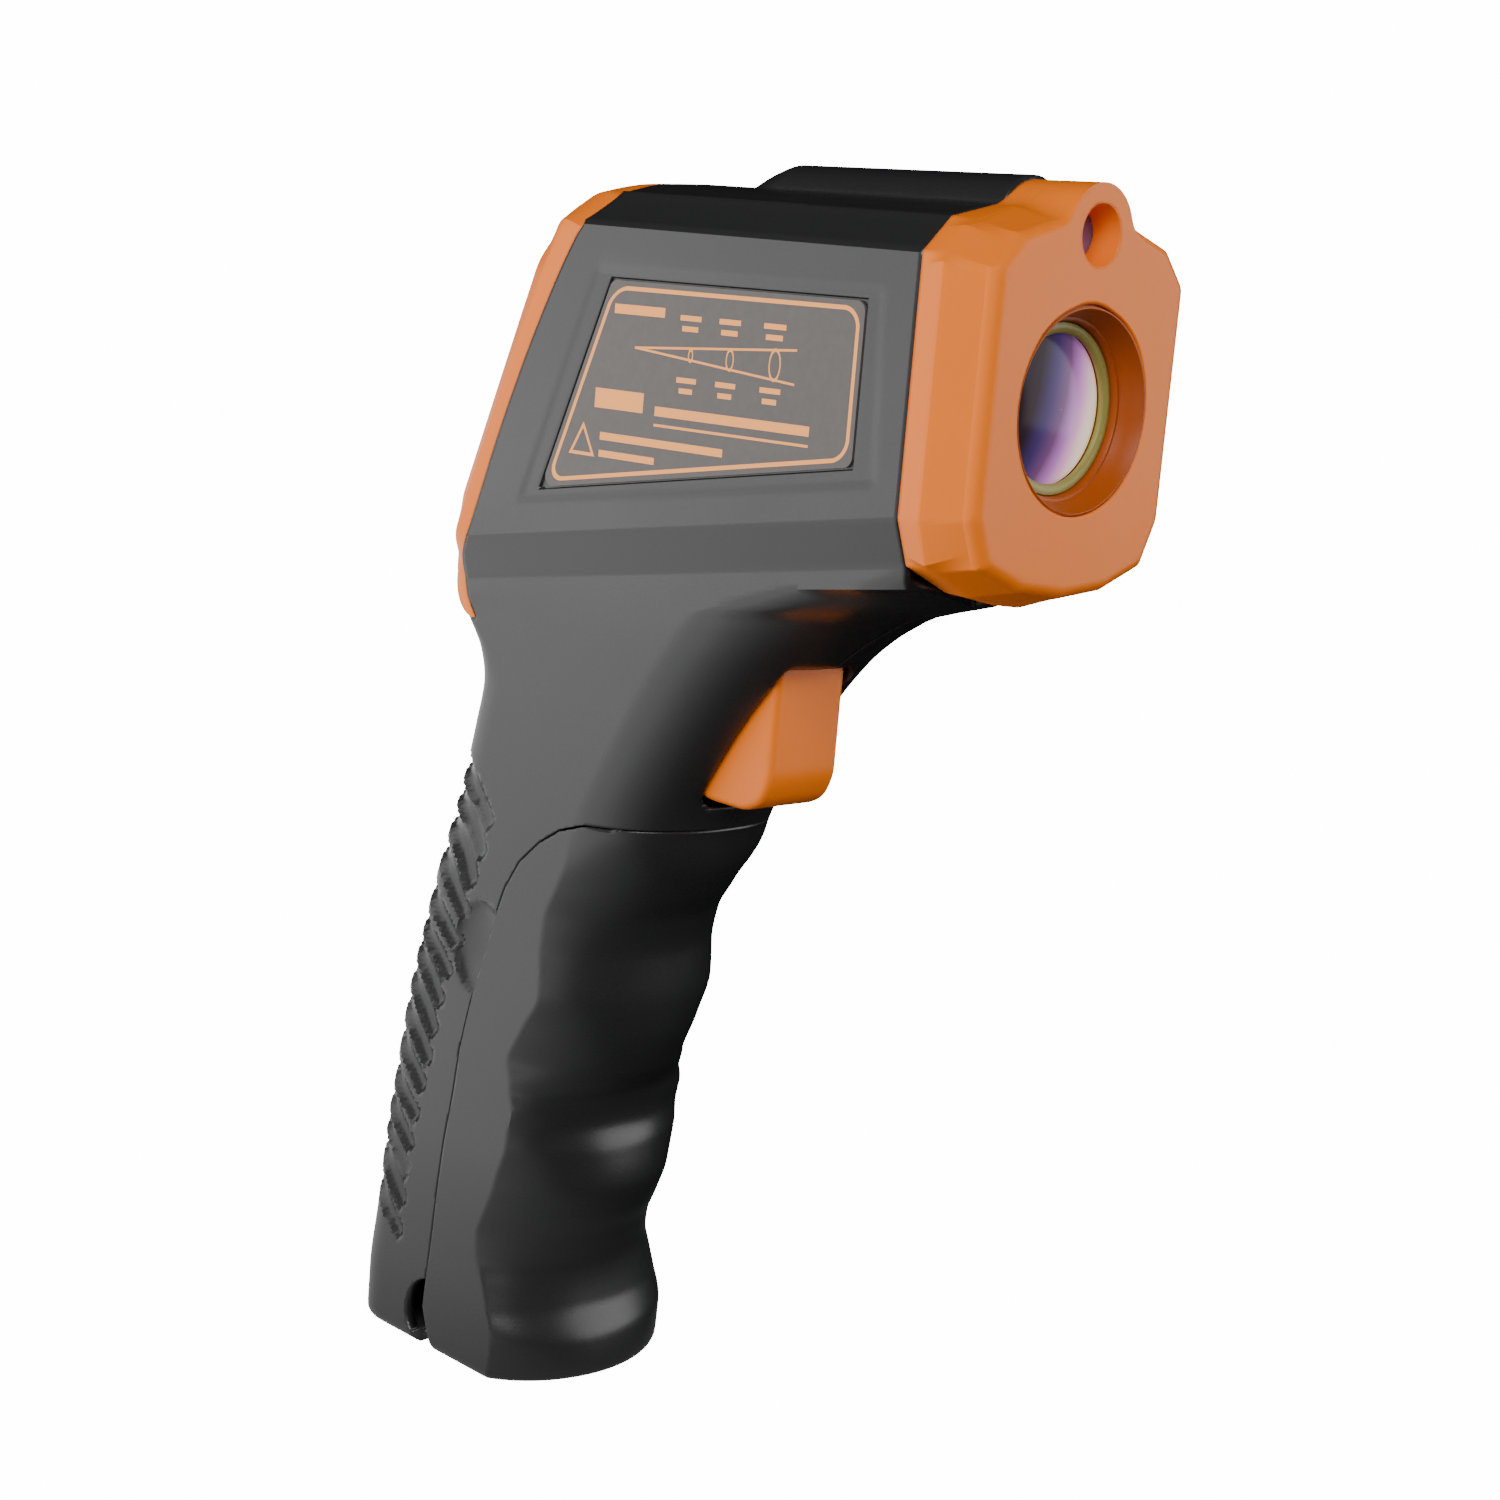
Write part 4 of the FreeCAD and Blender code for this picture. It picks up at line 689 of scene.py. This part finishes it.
def roundedBox(across, up, wide, tall, middleAcross, middleUp, corner):
    # signed distance to a rounded rectangle, positive inside
    dx = np.abs(across - middleAcross) - wide / 2 + corner
    dy = np.abs(up - middleUp) - tall / 2 + corner
    return corner - np.hypot(np.maximum(dx, 0), np.maximum(dy, 0)) - np.minimum(np.maximum(dx, dy), 0)


def resampled(points, count):
    # even steps along a run of points
    length = np.concatenate([[0], np.cumsum(np.linalg.norm(np.diff(points, axis=0), axis=1))])
    at = np.linspace(0, length[-1], count)
    return np.column_stack([np.interp(at, length, points[:, k]) for k in range(3)])


def seamLoop():
    # the half loop where housing and rear bezel meet, from the crown round to the back of the grip
    edgeX = housing["crownEdge"]
    across = np.linspace(0, edgeX, 14)
    crown = smoothLine(housing["crown"], across)
    points = list(zip(across, smoothLine(housing["seam"], crown), crown + 0.15))
    # then chamfer, side, facet and neck as (x, height)
    edge = crown[-1] + 0.15
    rest = [(edgeX + (halfWidth - edgeX) * t, edge + (15.4 - edge) * t) for t in np.linspace(0.1, 1, 8)]
    rest += [(halfWidth, z) for z in np.linspace(15.2, -22.6, 40)]
    rest += [(halfWidth - 2.15 * smoothStep(0, 1, t) ** 0.9, -23.0 - 5.4 * t) for t in np.linspace(0.05, 1, 8)]
    rest += [(15.3, z) for z in np.linspace(-29.2, seamRow, 6)]
    points += [(x, float(smoothLine(housing["seam"], z)), z) for x, z in rest]
    points += [(x, y, seamRow) for x, y in zip(*rearCorner(seamRow, 80.0, 15.3, 16))]
    return np.array(points, float)


def rearSurfaces():
    # loops from the seam out over the band and the rounded shoulder to the flat rear face
    half = resampled(seamLoop(), rear["around"] // 2 + 1)
    loop = np.vstack([half, half[::-1][1:-1] * [-1, 1, 1]])
    across, up, out = rearCoordinates(loop[:, 0], loop[:, 1], loop[:, 2])
    corner, faceWide, faceLow, faceHigh = (rear[key] for key in ("faceCorner", "faceHalf", "faceLow", "faceHigh"))
    # inner outline: each point goes in along its own direction to the face's rounded rectangle
    boxAcross = np.clip(across, -faceWide + corner, faceWide - corner)
    boxUp = np.clip(up, faceLow + corner, faceHigh - corner)
    gap = np.hypot(across - boxAcross, up - boxUp)
    innerAcross = boxAcross + (across - boxAcross) / np.maximum(gap, 1e-6) * corner
    innerUp = boxUp + (up - boxUp) / np.maximum(gap, 1e-6) * corner
    sideways = smoothStep(0.35, 0.95, np.abs(across - boxAcross) / np.maximum(gap, 1e-6))
    rows = []
    # the shoulder is a chamfer at the sides and a quarter round above and below
    knots = [0, 0.38, 0.46, 0.9, 1.0]
    for t in np.concatenate([np.linspace(0, 0.36, 8), np.linspace(0.4, 0.5, 4), np.linspace(0.55, 1.0, 18)]):
        chamferIn = np.interp(t, knots, [0, 0.0, 0.05, 0.84, 1.0])
        chamferOut = np.interp(t, knots, [0, 0.36, 0.46, 0.95, 1.0])
        roundIn = 1 - math.cos(t * math.pi / 2)
        roundOut = math.sin(t * math.pi / 2)
        goIn = roundIn + (chamferIn - roundIn) * sideways
        goOut = roundOut + (chamferOut - roundOut) * sideways
        rows.append(rearPoint(across + (innerAcross - across) * goIn, up + (innerUp - up) * goIn, out * (1 - goOut)))
    # the last row lies a hair under the face's plane
    rows[-1] = rows[-1] - np.array([0, 1e-4, 0])
    gridUp, gridAcross = np.meshgrid(np.linspace(faceLow, faceHigh, 124), np.linspace(-faceWide, faceWide, 96),
                                     indexing="ij")
    face = rearPoint(gridAcross, gridUp, np.zeros_like(gridUp))
    return np.stack(rows), face, np.column_stack([innerAcross, innerUp])


shoulder, rearFace, rearOutline = rearSurfaces()


def rearKeeps(x, y, z):
    # inside the face's outline and outside the window and the key holes; the shoulder is left alone
    across, up, out = rearCoordinates(x, y, z)
    flat = np.abs(out) < 1e-4
    field = insideDistance(across, up, rearOutline[::3]) + 1e-3
    wide, tall, middle = rear["window"]
    field = np.minimum(field, -roundedBox(across, up, wide, tall, 0, middle, rear["windowCorner"]))
    for keyAcross, keyUp in rear["keys"]:
        hole = roundedBox(across, up, *rear["keyHole"], keyAcross, keyUp, rear["keyCorner"])
        field = np.minimum(field, -hole)
    return np.where(flat, field, 5.0)


rearParts = [ringPart(shoulder), (rearFace, gridFaces(*rearFace.shape[:2]))]
makePiece("rearBezel", rearParts, "housing", bezelOrange, ["rear_bezel"], trims=[rearKeeps], thick=1.45, smooth=20)


# ---- trigger ----

trigger = {
    "half": 5.9, "soft": 0.95, "corner": 1.3, "around": 220,
    "outline": [(37.1, -24.8), (43.9, -24.8), (45.5, -34.6), (50, -40), (50, -48), (47.5, -50.7), (45.5, -51.1),
                (39.5, -51.2), (36.9, -49.9), (35.6, -47.0), (35.6, -33), (36.2, -30.5)],
}


def roundedLoop(corners, radius, count):
    # a closed outline whose corners are quadratic curves, in even steps
    corners = np.array(corners, float)
    pieces = []
    for before, here, after in zip(np.roll(corners, 1, axis=0), corners, np.roll(corners, -1, axis=0)):
        # each curve starts and ends at the radius from its corner, or just short of the side's middle
        a, b = (here + (end - here) * min(radius / np.linalg.norm(end - here), 0.48) for end in (before, after))
        t = np.linspace(0, 1, 9)[:, None]
        pieces.append(a * (1 - t) ** 2 + here * 2 * t * (1 - t) + b * t**2)
    loop = np.vstack(pieces + [pieces[0][:1]])
    length = np.concatenate([[0], np.cumsum(np.hypot(*np.diff(loop, axis=0).T))])
    at = np.linspace(0, length[-1], count, endpoint=False)
    return np.column_stack([np.interp(at, length, loop[:, 0]), np.interp(at, length, loop[:, 1])])


def slabSurface(loop, half, soft):
    # an outline carried across x with its two rims rounded, closed by caps that shrink to the middle
    ahead = np.roll(loop, -1, axis=0) - np.roll(loop, 1, axis=0)
    inward = np.column_stack([-ahead[:, 1], ahead[:, 0]]) / np.linalg.norm(ahead, axis=1)[:, None]
    area = np.sum(loop[:, 0] * np.roll(loop[:, 1], -1) - np.roll(loop[:, 0], -1) * loop[:, 1])
    inward *= 1 if area > 0 else -1
    middle = loop.mean(axis=0)
    rows = []
    edge = [(-half, soft, k) for k in (0.02, 0.35, 0.7)] + [(-half, soft, 1.0)]
    for angle in np.linspace(0, np.pi / 2, 7)[1:]:
        edge.append((-half + soft * (1 - math.cos(angle)), soft * (1 - math.sin(angle)), 1.0))
    profile = edge + [(-x, inset, k) for x, inset, k in edge[::-1]]
    for x, inset, share in profile:
        ring = loop + inward * inset
        ring = middle + (ring - middle) * share
        rows.append(np.column_stack([np.full(len(ring), x), ring]))
    return np.stack(rows)


triggerLoop = roundedLoop(trigger["outline"], trigger["corner"], trigger["around"])
makePiece("triggerLever", [ringPart(slabSurface(triggerLoop, trigger["half"], trigger["soft"]))], "trigger",
          triggerOrange, ["trigger"], smooth=40, flip=True)


# ---- lens, retaining ring and laser window ----

optics = {
    "lensRadius": 8.4, "lensFront": 4.65, "lensRise": 1.7, "lensBack": 5.75, "turns": 160,
    "ringInner": 8.1, "ringOuter": 9.36, "ringFront": 3.4, "axisHeight": 0.132,
    # painted reflection of the coated lens across the dome, as (place, colour)
    "paintedReflection": [(0.0, (0.02, 0.012, 0.02)), (0.24, (0.025, 0.013, 0.02)), (0.36, (0.05, 0.03, 0.12)),
                (0.48, (0.14, 0.06, 0.16)), (0.58, (0.42, 0.16, 0.48)), (0.67, (0.72, 0.36, 0.62)),
                (0.76, (0.95, 0.68, 0.66)), (0.86, (1.0, 0.90, 0.74)), (1.0, (0.80, 0.78, 0.40))],
}


def lensMaterial():
    # coated lens with a painted reflection: a colour that runs from dark through violet and pink to cream across the
    # dome, as the coated surface's reflection does, kept in the surface by a gradient on x and z; its emission is a
    # painted glow
    material, tree, shader = newMaterial("lensPaintedReflection")
    x, _, z = objectAxes(tree)
    across = sums(tree, "MULTIPLY_ADD", x, 54.0, 0.43)
    lift = sums(tree, "MULTIPLY_ADD", sums(tree, "SUBTRACT", z, optics["axisHeight"]), -14.0, across)
    ramp = tree.nodes.new("ShaderNodeValToRGB")
    while len(ramp.color_ramp.elements) < len(optics["paintedReflection"]):
        ramp.color_ramp.elements.new(0.5)
    for element, (place, color) in zip(ramp.color_ramp.elements, optics["paintedReflection"]):
        element.position = place
        element.color = (*color, 1)
    feed(tree, ramp, {"Fac": sums(tree, "MULTIPLY_ADD", objectNoise(tree, 130.0), 0.06, lift)})
    # the ramp colour also glows from the lens: painted light
    feed(tree, shader, {"Base Color": ramp.outputs["Color"], "Emission Color": ramp.outputs["Color"],
                        "Emission Strength": 0.55, "Roughness": 0.16, "Specular IOR Level": 0.12})
    return material


oliveRing = plastic("oliveRing", (0.30, 0.27, 0.055), 0.42, bump=0.05, shade=0.12)
lensRadius, lensFront = optics["lensRadius"], optics["lensFront"]
dome = [(lensRadius * share, lensFront - optics["lensRise"] * (1 - share**2)) for share in np.linspace(0.004, 1.0, 26)]
dome += [(lensRadius, lensFront + 0.5), (lensRadius, optics["lensBack"]), (0.03, optics["lensBack"])]
makePiece("lensDome", [ringPart(turnedSurface(dome, optics["turns"]))], "housing", lensMaterial(), ["lens"], smooth=35,
          flip=True)
inner, outer, front = optics["ringInner"], optics["ringOuter"], optics["ringFront"]
# the ring's section, from its inner side over the rounded front to the outer side
ringProfile = [(inner + 0.45, front + 1.15), (inner + 0.12, front + 0.75), (inner, front + 0.5),
               (inner + 0.06, front + 0.3), (inner + 0.25, front + 0.14), (inner + 0.6, front + 0.04),
               (outer - 0.45, front), (outer - 0.1, front + 0.1), (outer, front + 0.3), (outer, front + 1.15),
               (inner + 0.45, front + 1.15)]
makePiece("lensRing", [ringPart(turnedSurface(ringProfile, optics["turns"]))], "housing", oliveRing, ["lens_ring"],
          smooth=35, flip=True)


# ---- label ----

label = {
    # border: back edge's lean, place and cosine, low edge's slope and place, front and top edges, all in millimetres
    "lean": -0.3992, "backEdge": 60.67, "backCosine": 0.929, "slope": 0.154, "lowEdge": 5.30, "frontEdge": 16.9,
    "topEdge": 9.7, "corner": 3.0, "borderIn": 0.85, "borderHalf": 0.24,
    # cone: where and how high it starts, how its lines rise, and its ellipses as (place, half height)
    "apex": (52.0, 2.2), "rises": (-0.083, 0.062), "coneMiddle": 39.2, "coneHalf": 12.9, "coneHigh": 1.95,
    "ellipses": ((29.5, 1.65), (36.5, 1.1), (42.8, 0.65)), "lineHalf": 0.13,
    # short bars above and below each ellipse as (height, half length), then long bars and a plate by their edges
    "shortBars": ((6.1, 1.7), (4.9, 1.3), (-0.9, 1.6), (-2.1, 1.1)),
    "bars": ((47.5, 56.0, 5.9, 7.0), (23.5, 48.0, -5.3, -4.2), (23.5, 48.0, -6.5, -6.2), (36.5, 57.0, -8.9, -8.0),
             (47.5, 57.0, -10.9, -10.1), (50.0, 58.3, -5.2, -2.9)),
    "triangle": (60.0, -6.9, 4.2, 0.58), "ink": (1.0, 0.37, 0.08, 1), "inkGlow": 0.25,
    "ground": ((0.095, 0.085, 0.080, 1), (0.120, 0.107, 0.100, 1)),
}


def labelMaterial():
    # printed film: grey ground, a light orange border line, a generic sighting cone with three ellipses,
    # plain bars, a plate and an empty triangle, all worked out from object coordinates
    material, tree, shader = newMaterial("labelPrint")

    def calc(operation, a, b=0.0, c=0.5):
        return sums(tree, operation, a, b, c)

    def band(value, middle, half):
        return calc("LESS_THAN", calc("ABSOLUTE", calc("SUBTRACT", value, middle)), half)

    def box(place, placeHalf, height, heightHalf):
        return calc("MULTIPLY", band(back, place, placeHalf), band(high, height, heightHalf))

    def length(a, b):
        return calc("SQRT", calc("ADD", calc("MULTIPLY", a, a), calc("MULTIPLY", b, b)))

    # object coordinates in millimetres on the optical axis
    _, y, z = objectAxes(tree)
    back = calc("MULTIPLY_ADD", y, 1000.0, -axisShift[1])
    high = calc("MULTIPLY_ADD", z, 1000.0, -axisShift[2])
    # distance in from each edge of the plate
    backLine = calc("MULTIPLY_ADD", high, label["lean"], label["backEdge"])
    backIn = calc("MULTIPLY", calc("SUBTRACT", backLine, back), label["backCosine"])
    lowIn = calc("ADD", calc("MULTIPLY_ADD", back, label["slope"], label["lowEdge"]), high)
    sideIn = calc("MINIMUM", calc("SUBTRACT", back, label["frontEdge"]), backIn)
    heightIn = calc("MINIMUM", calc("SUBTRACT", label["topEdge"], high), lowIn)
    # rounded corners: radius less the length of what each distance lacks of it
    lacks = [calc("MAXIMUM", calc("SUBTRACT", label["corner"], value), 0.0) for value in (sideIn, heightIn)]
    rounded = calc("SUBTRACT", label["corner"], length(*lacks))
    marks = [band(calc("MINIMUM", calc("MINIMUM", sideIn, heightIn), rounded), label["borderIn"], label["borderHalf"])]
    # sighting cone: two lines that open towards the nose, and ellipses across it
    for rise in label["rises"]:
        line = calc("SUBTRACT", high, calc("MULTIPLY_ADD", back, -rise, label["apex"][1] + rise * label["apex"][0]))
        marks.append(calc("MULTIPLY", band(line, 0.0, label["lineHalf"]),
                          band(back, label["coneMiddle"], label["coneHalf"])))
    for middle, tall in label["ellipses"]:
        radius = length(calc("DIVIDE", calc("SUBTRACT", back, middle), tall * 0.5),
                        calc("DIVIDE", calc("SUBTRACT", high, label["coneHigh"]), tall))
        marks.append(band(radius, 1.0, label["lineHalf"] / tall + 0.03))
        marks += [box(middle + 0.4, half, height, 0.3) for height, half in label["shortBars"]]
    marks += [box((b0 + b1) / 2, (b1 - b0) / 2, (h0 + h1) / 2, (h1 - h0) / 2) for b0, b1, h0, h1 in label["bars"]]
    # triangle: how far inside its flanks and its foot, drawn as a band
    place, tip, tall, lean = label["triangle"]
    down = calc("SUBTRACT", tip, high)
    beside = calc("MULTIPLY", calc("ABSOLUTE", calc("SUBTRACT", back, place)), -1.0)
    flank = calc("MULTIPLY_ADD", down, lean, beside)
    marks.append(band(calc("MINIMUM", flank, calc("SUBTRACT", tall, down)), 0.3, 0.2))
    total = marks[0]
    for mark in marks[1:]:
        total = calc("MAXIMUM", total, mark)
    grain = objectNoise(tree, 900.0)
    ground = tree.nodes.new("ShaderNodeValToRGB")
    for element, color in zip(ground.color_ramp.elements, label["ground"]):
        element.color = color
    feed(tree, ground, {"Fac": grain})
    mix = tree.nodes.new("ShaderNodeMix")
    mix.data_type = "RGBA"
    # inputs 6 and 7 and output 2 are the mix's colours
    feed(tree, mix, {0: total, 6: ground.outputs["Color"], 7: label["ink"]})
    # the ink also glows faintly, which is painted light on the print
    feed(tree, shader, {"Base Color": mix.outputs[2], "Emission Color": mix.outputs[2],
                        "Emission Strength": calc("MULTIPLY", total, label["inkGlow"]),
                        "Normal": relief(tree, grain, 0.08, 0.0001), "Roughness": 0.42, "IOR": 1.4})
    return material


def glassy(name, color, roughness=0.05, transmission=0.9):
    # clear or tinted sheet with a faint smear in its roughness
    material, tree, shader = newMaterial(name)
    feed(tree, shader, {"Base Color": (*color, 1), "Transmission Weight": transmission, "IOR": 1.49,
                        "Roughness": sums(tree, "MULTIPLY_ADD", objectNoise(tree, 90.0), 0.06, roughness)})
    return material


# finishes of the pieces that the frame carries
finishes = {
    labelMaterial(): ["label_left", "label_right"],
    plastic("barrelBlack", (0.012, 0.012, 0.013), 0.5): ["optic_barrel", "battery_tray", "lcd_frame"],
    plastic("boardGreen", (0.012, 0.09, 0.035), 0.35, grain=1500): ["main_board", "sensor_board"],
    plastic("chipBlack", (0.014, 0.014, 0.016), 0.55): ["board_chips", "buzzer", "trigger_switch"],
    plastic("screwZinc", (0.55, 0.55, 0.53), 0.3, metallic=1.0): ["board_screws", "housing_screws", "trigger_pin",
                                                                 "hinge_pin"],
    plastic("springSteel", (0.62, 0.62, 0.6), 0.22, metallic=1.0): ["trigger_spring", "battery_springs"],
    plastic("contactNickel", (0.66, 0.64, 0.58), 0.25, metallic=1.0): ["contact_plates", "thermopile_sensor"],
    plastic("laserBrass", (0.62, 0.45, 0.18), 0.28, metallic=1.0): ["laser_module"],
    plastic("keyGrey", (0.06, 0.06, 0.062), 0.5, grain=1800, bump=0.1): ["key_mode", "key_up", "key_down"],
    plastic("padSilicone", (0.42, 0.43, 0.44), 0.6): ["keypad"],
    plastic("plungerIvory", (0.62, 0.58, 0.48), 0.4): ["switch_plunger"],
    plastic("cellSleeve", (0.03, 0.10, 0.26), 0.3, shade=0.3): ["battery_right", "battery_left"],
    plastic("diffuserWhite", (0.75, 0.76, 0.74), 0.5): ["backlight"],
    plastic("displayGrey", (0.20, 0.235, 0.185), 0.25): ["lcd_module"],
    plastic("leadRed", (0.42, 0.03, 0.02), 0.45): ["laser_leads", "battery_leads"],
    plastic("leadWhite", (0.66, 0.65, 0.6), 0.45): ["sensor_leads"],
    glassy("windowClear", (0.88, 0.92, 0.92)): ["display_window"],
    glassy("laserTint", (0.34, 0.20, 0.45), 0.04, 0.4): ["laser_window"],
}
for material, names in finishes.items():
    for name in names:
        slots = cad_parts[name].data.materials
        slots.clear()
        slots.append(material)


# ---- studio ----

studio = {
    "floorTone": (0.9, 0.9, 0.9), "floorLevel": -0.004, "floorYaw": 43.75, "bendStart": 1.4, "bend": 0.8,
    "glow": 16.0, "glowShare": 0.95, "flagRun": 0.16, "flagLight": 1.8, "world": 0.06, "aim": (0.0, 0.0, 0.075),
    # area lights as place, size and power
    "lights": {"sidePanel": ((-0.46, 0.44, 0.22), (0.62, 0.44), 1.9),
               "nosePanel": ((0.44, -0.46, 0.22), (0.56, 0.44), 2.6),
               "cameraSoft": ((-0.62, -0.50, 0.62), (0.5, 0.5), 6.5)},
    # the camera's place on the optical axes, its back vector, its roll in degrees and its focal length
    "cameraPlace": (-221.3, -167.0, 9.4), "cameraBack": (-0.7112, -0.6808, 0.1752), "roll": 4.9, "focal": 61.285,
}


def backdrop():
    # pale sweep: a flat floor that curves up behind the object, square to the camera's view
    start, bend = studio["bendStart"], studio["bend"]
    turn = np.linspace(0.1, np.pi / 2, 14)
    across = np.linspace(-3.0, 3.0, 9)
    run = np.concatenate([np.linspace(-2.5, start, 10), start + bend * np.sin(turn), [start + bend, start + bend]])
    rise = np.concatenate([np.zeros(10), bend * (1 - np.cos(turn)), [1.8, 3.2]])
    yaw = math.radians(studio["floorYaw"])
    gridAcross, gridRun = np.meshgrid(across, run, indexing="ij")
    height = np.broadcast_to(rise, gridRun.shape) + studio["floorLevel"]
    x = gridRun * math.cos(yaw) + gridAcross * math.sin(yaw)
    y = gridRun * math.sin(yaw) - gridAcross * math.cos(yaw)
    points = np.stack([x, y, height], axis=-1).reshape(-1, 3)
    faces = gridFaces(len(across), len(run))[:, ::-1]
    mesh = bpy.data.meshes.new("paleSweep")
    mesh.from_pydata(points.tolist(), [], faces.tolist())
    mesh.polygons.foreach_set("use_smooth", np.ones(len(faces), bool))
    material, tree, shader = newMaterial("paleFloor")
    feed(tree, shader, {"Base Color": (*studio["floorTone"], 1), "Roughness": 0.9})
    # seen by the camera the sweep glows almost white; other rays find a floor that is lit on the far left only,
    # as under studio flags: nought at the object, full from flagRun metres towards (-x, y)
    along = tree.nodes.new("ShaderNodeVectorMath")
    along.operation = "DOT_PRODUCT"
    where = tree.nodes.new("ShaderNodeTexCoord").outputs["Object"]
    feed(tree, along, {0: where, 1: (-0.7, 0.7, -4.0)})
    flag = tree.nodes.new("ShaderNodeMapRange")
    feed(tree, flag, {"Value": along.outputs["Value"], "From Min": 0.0, "From Max": studio["flagRun"],
                      "To Max": studio["flagLight"]})
    glow, dull = (tree.nodes.new("ShaderNodeEmission") for _ in range(2))
    feed(tree, glow, {"Strength": studio["glow"]})
    feed(tree, dull, {"Strength": flag.outputs["Result"]})
    blend, seen = (tree.nodes.new("ShaderNodeMixShader") for _ in range(2))
    feed(tree, blend, {0: studio["glowShare"], 1: shader.outputs[0], 2: glow.outputs[0]})
    cameraRay = tree.nodes.new("ShaderNodeLightPath").outputs["Is Camera Ray"]
    feed(tree, seen, {0: cameraRay, 1: dull.outputs[0], 2: blend.outputs[0]})
    feed(tree, tree.nodes["Material Output"], {"Surface": seen.outputs[0]})
    mesh.materials.append(material)
    addObject("paleSweep", mesh)


def turnFrom(side, top, back):
    return Matrix(np.column_stack([side, top, back]).tolist())


def unit(vector):
    return vector / np.linalg.norm(vector)


def areaLight(name, place, size, power):
    light = bpy.data.lights.new(name, "AREA")
    light.shape = "RECTANGLE"
    light.size, light.size_y = size
    light.energy = power
    holder = addObject(name, light)
    holder.location = place
    direction = unit(np.array(studio["aim"]) - np.array(place))
    side = unit(np.cross(direction, (0, 0, 1)))
    holder.rotation_euler = turnFrom(side, np.cross(side, direction), -direction).to_euler()


def camera():
    # looks along its back vector, turned by the roll
    back = unit(np.array(studio["cameraBack"]))
    side = unit(np.cross((0, 0, 1), back))
    top = np.cross(back, side)
    roll = math.radians(studio["roll"])
    side, top = math.cos(roll) * side + math.sin(roll) * top, -math.sin(roll) * side + math.cos(roll) * top
    lens = bpy.data.cameras.new("view")
    lens.lens = studio["focal"]
    lens.sensor_width = 36.0
    lens.clip_start = 0.01
    holder = addObject("view", lens)
    place = toFrame(studio["cameraPlace"]).tolist()
    holder.matrix_world = Matrix.Translation(place) @ turnFrom(side, top, back).to_4x4()
    bpy.context.scene.camera = holder


backdrop()
for name, settings in studio["lights"].items():
    areaLight(name, *settings)
world = bpy.data.worlds.new("paleStudio")
bpy.context.scene.world = world
world.use_nodes = True
feed(world.node_tree, world.node_tree.nodes["Background"], {0: (1, 1, 1, 1), 1: studio["world"]})
camera()
print("studio ready")
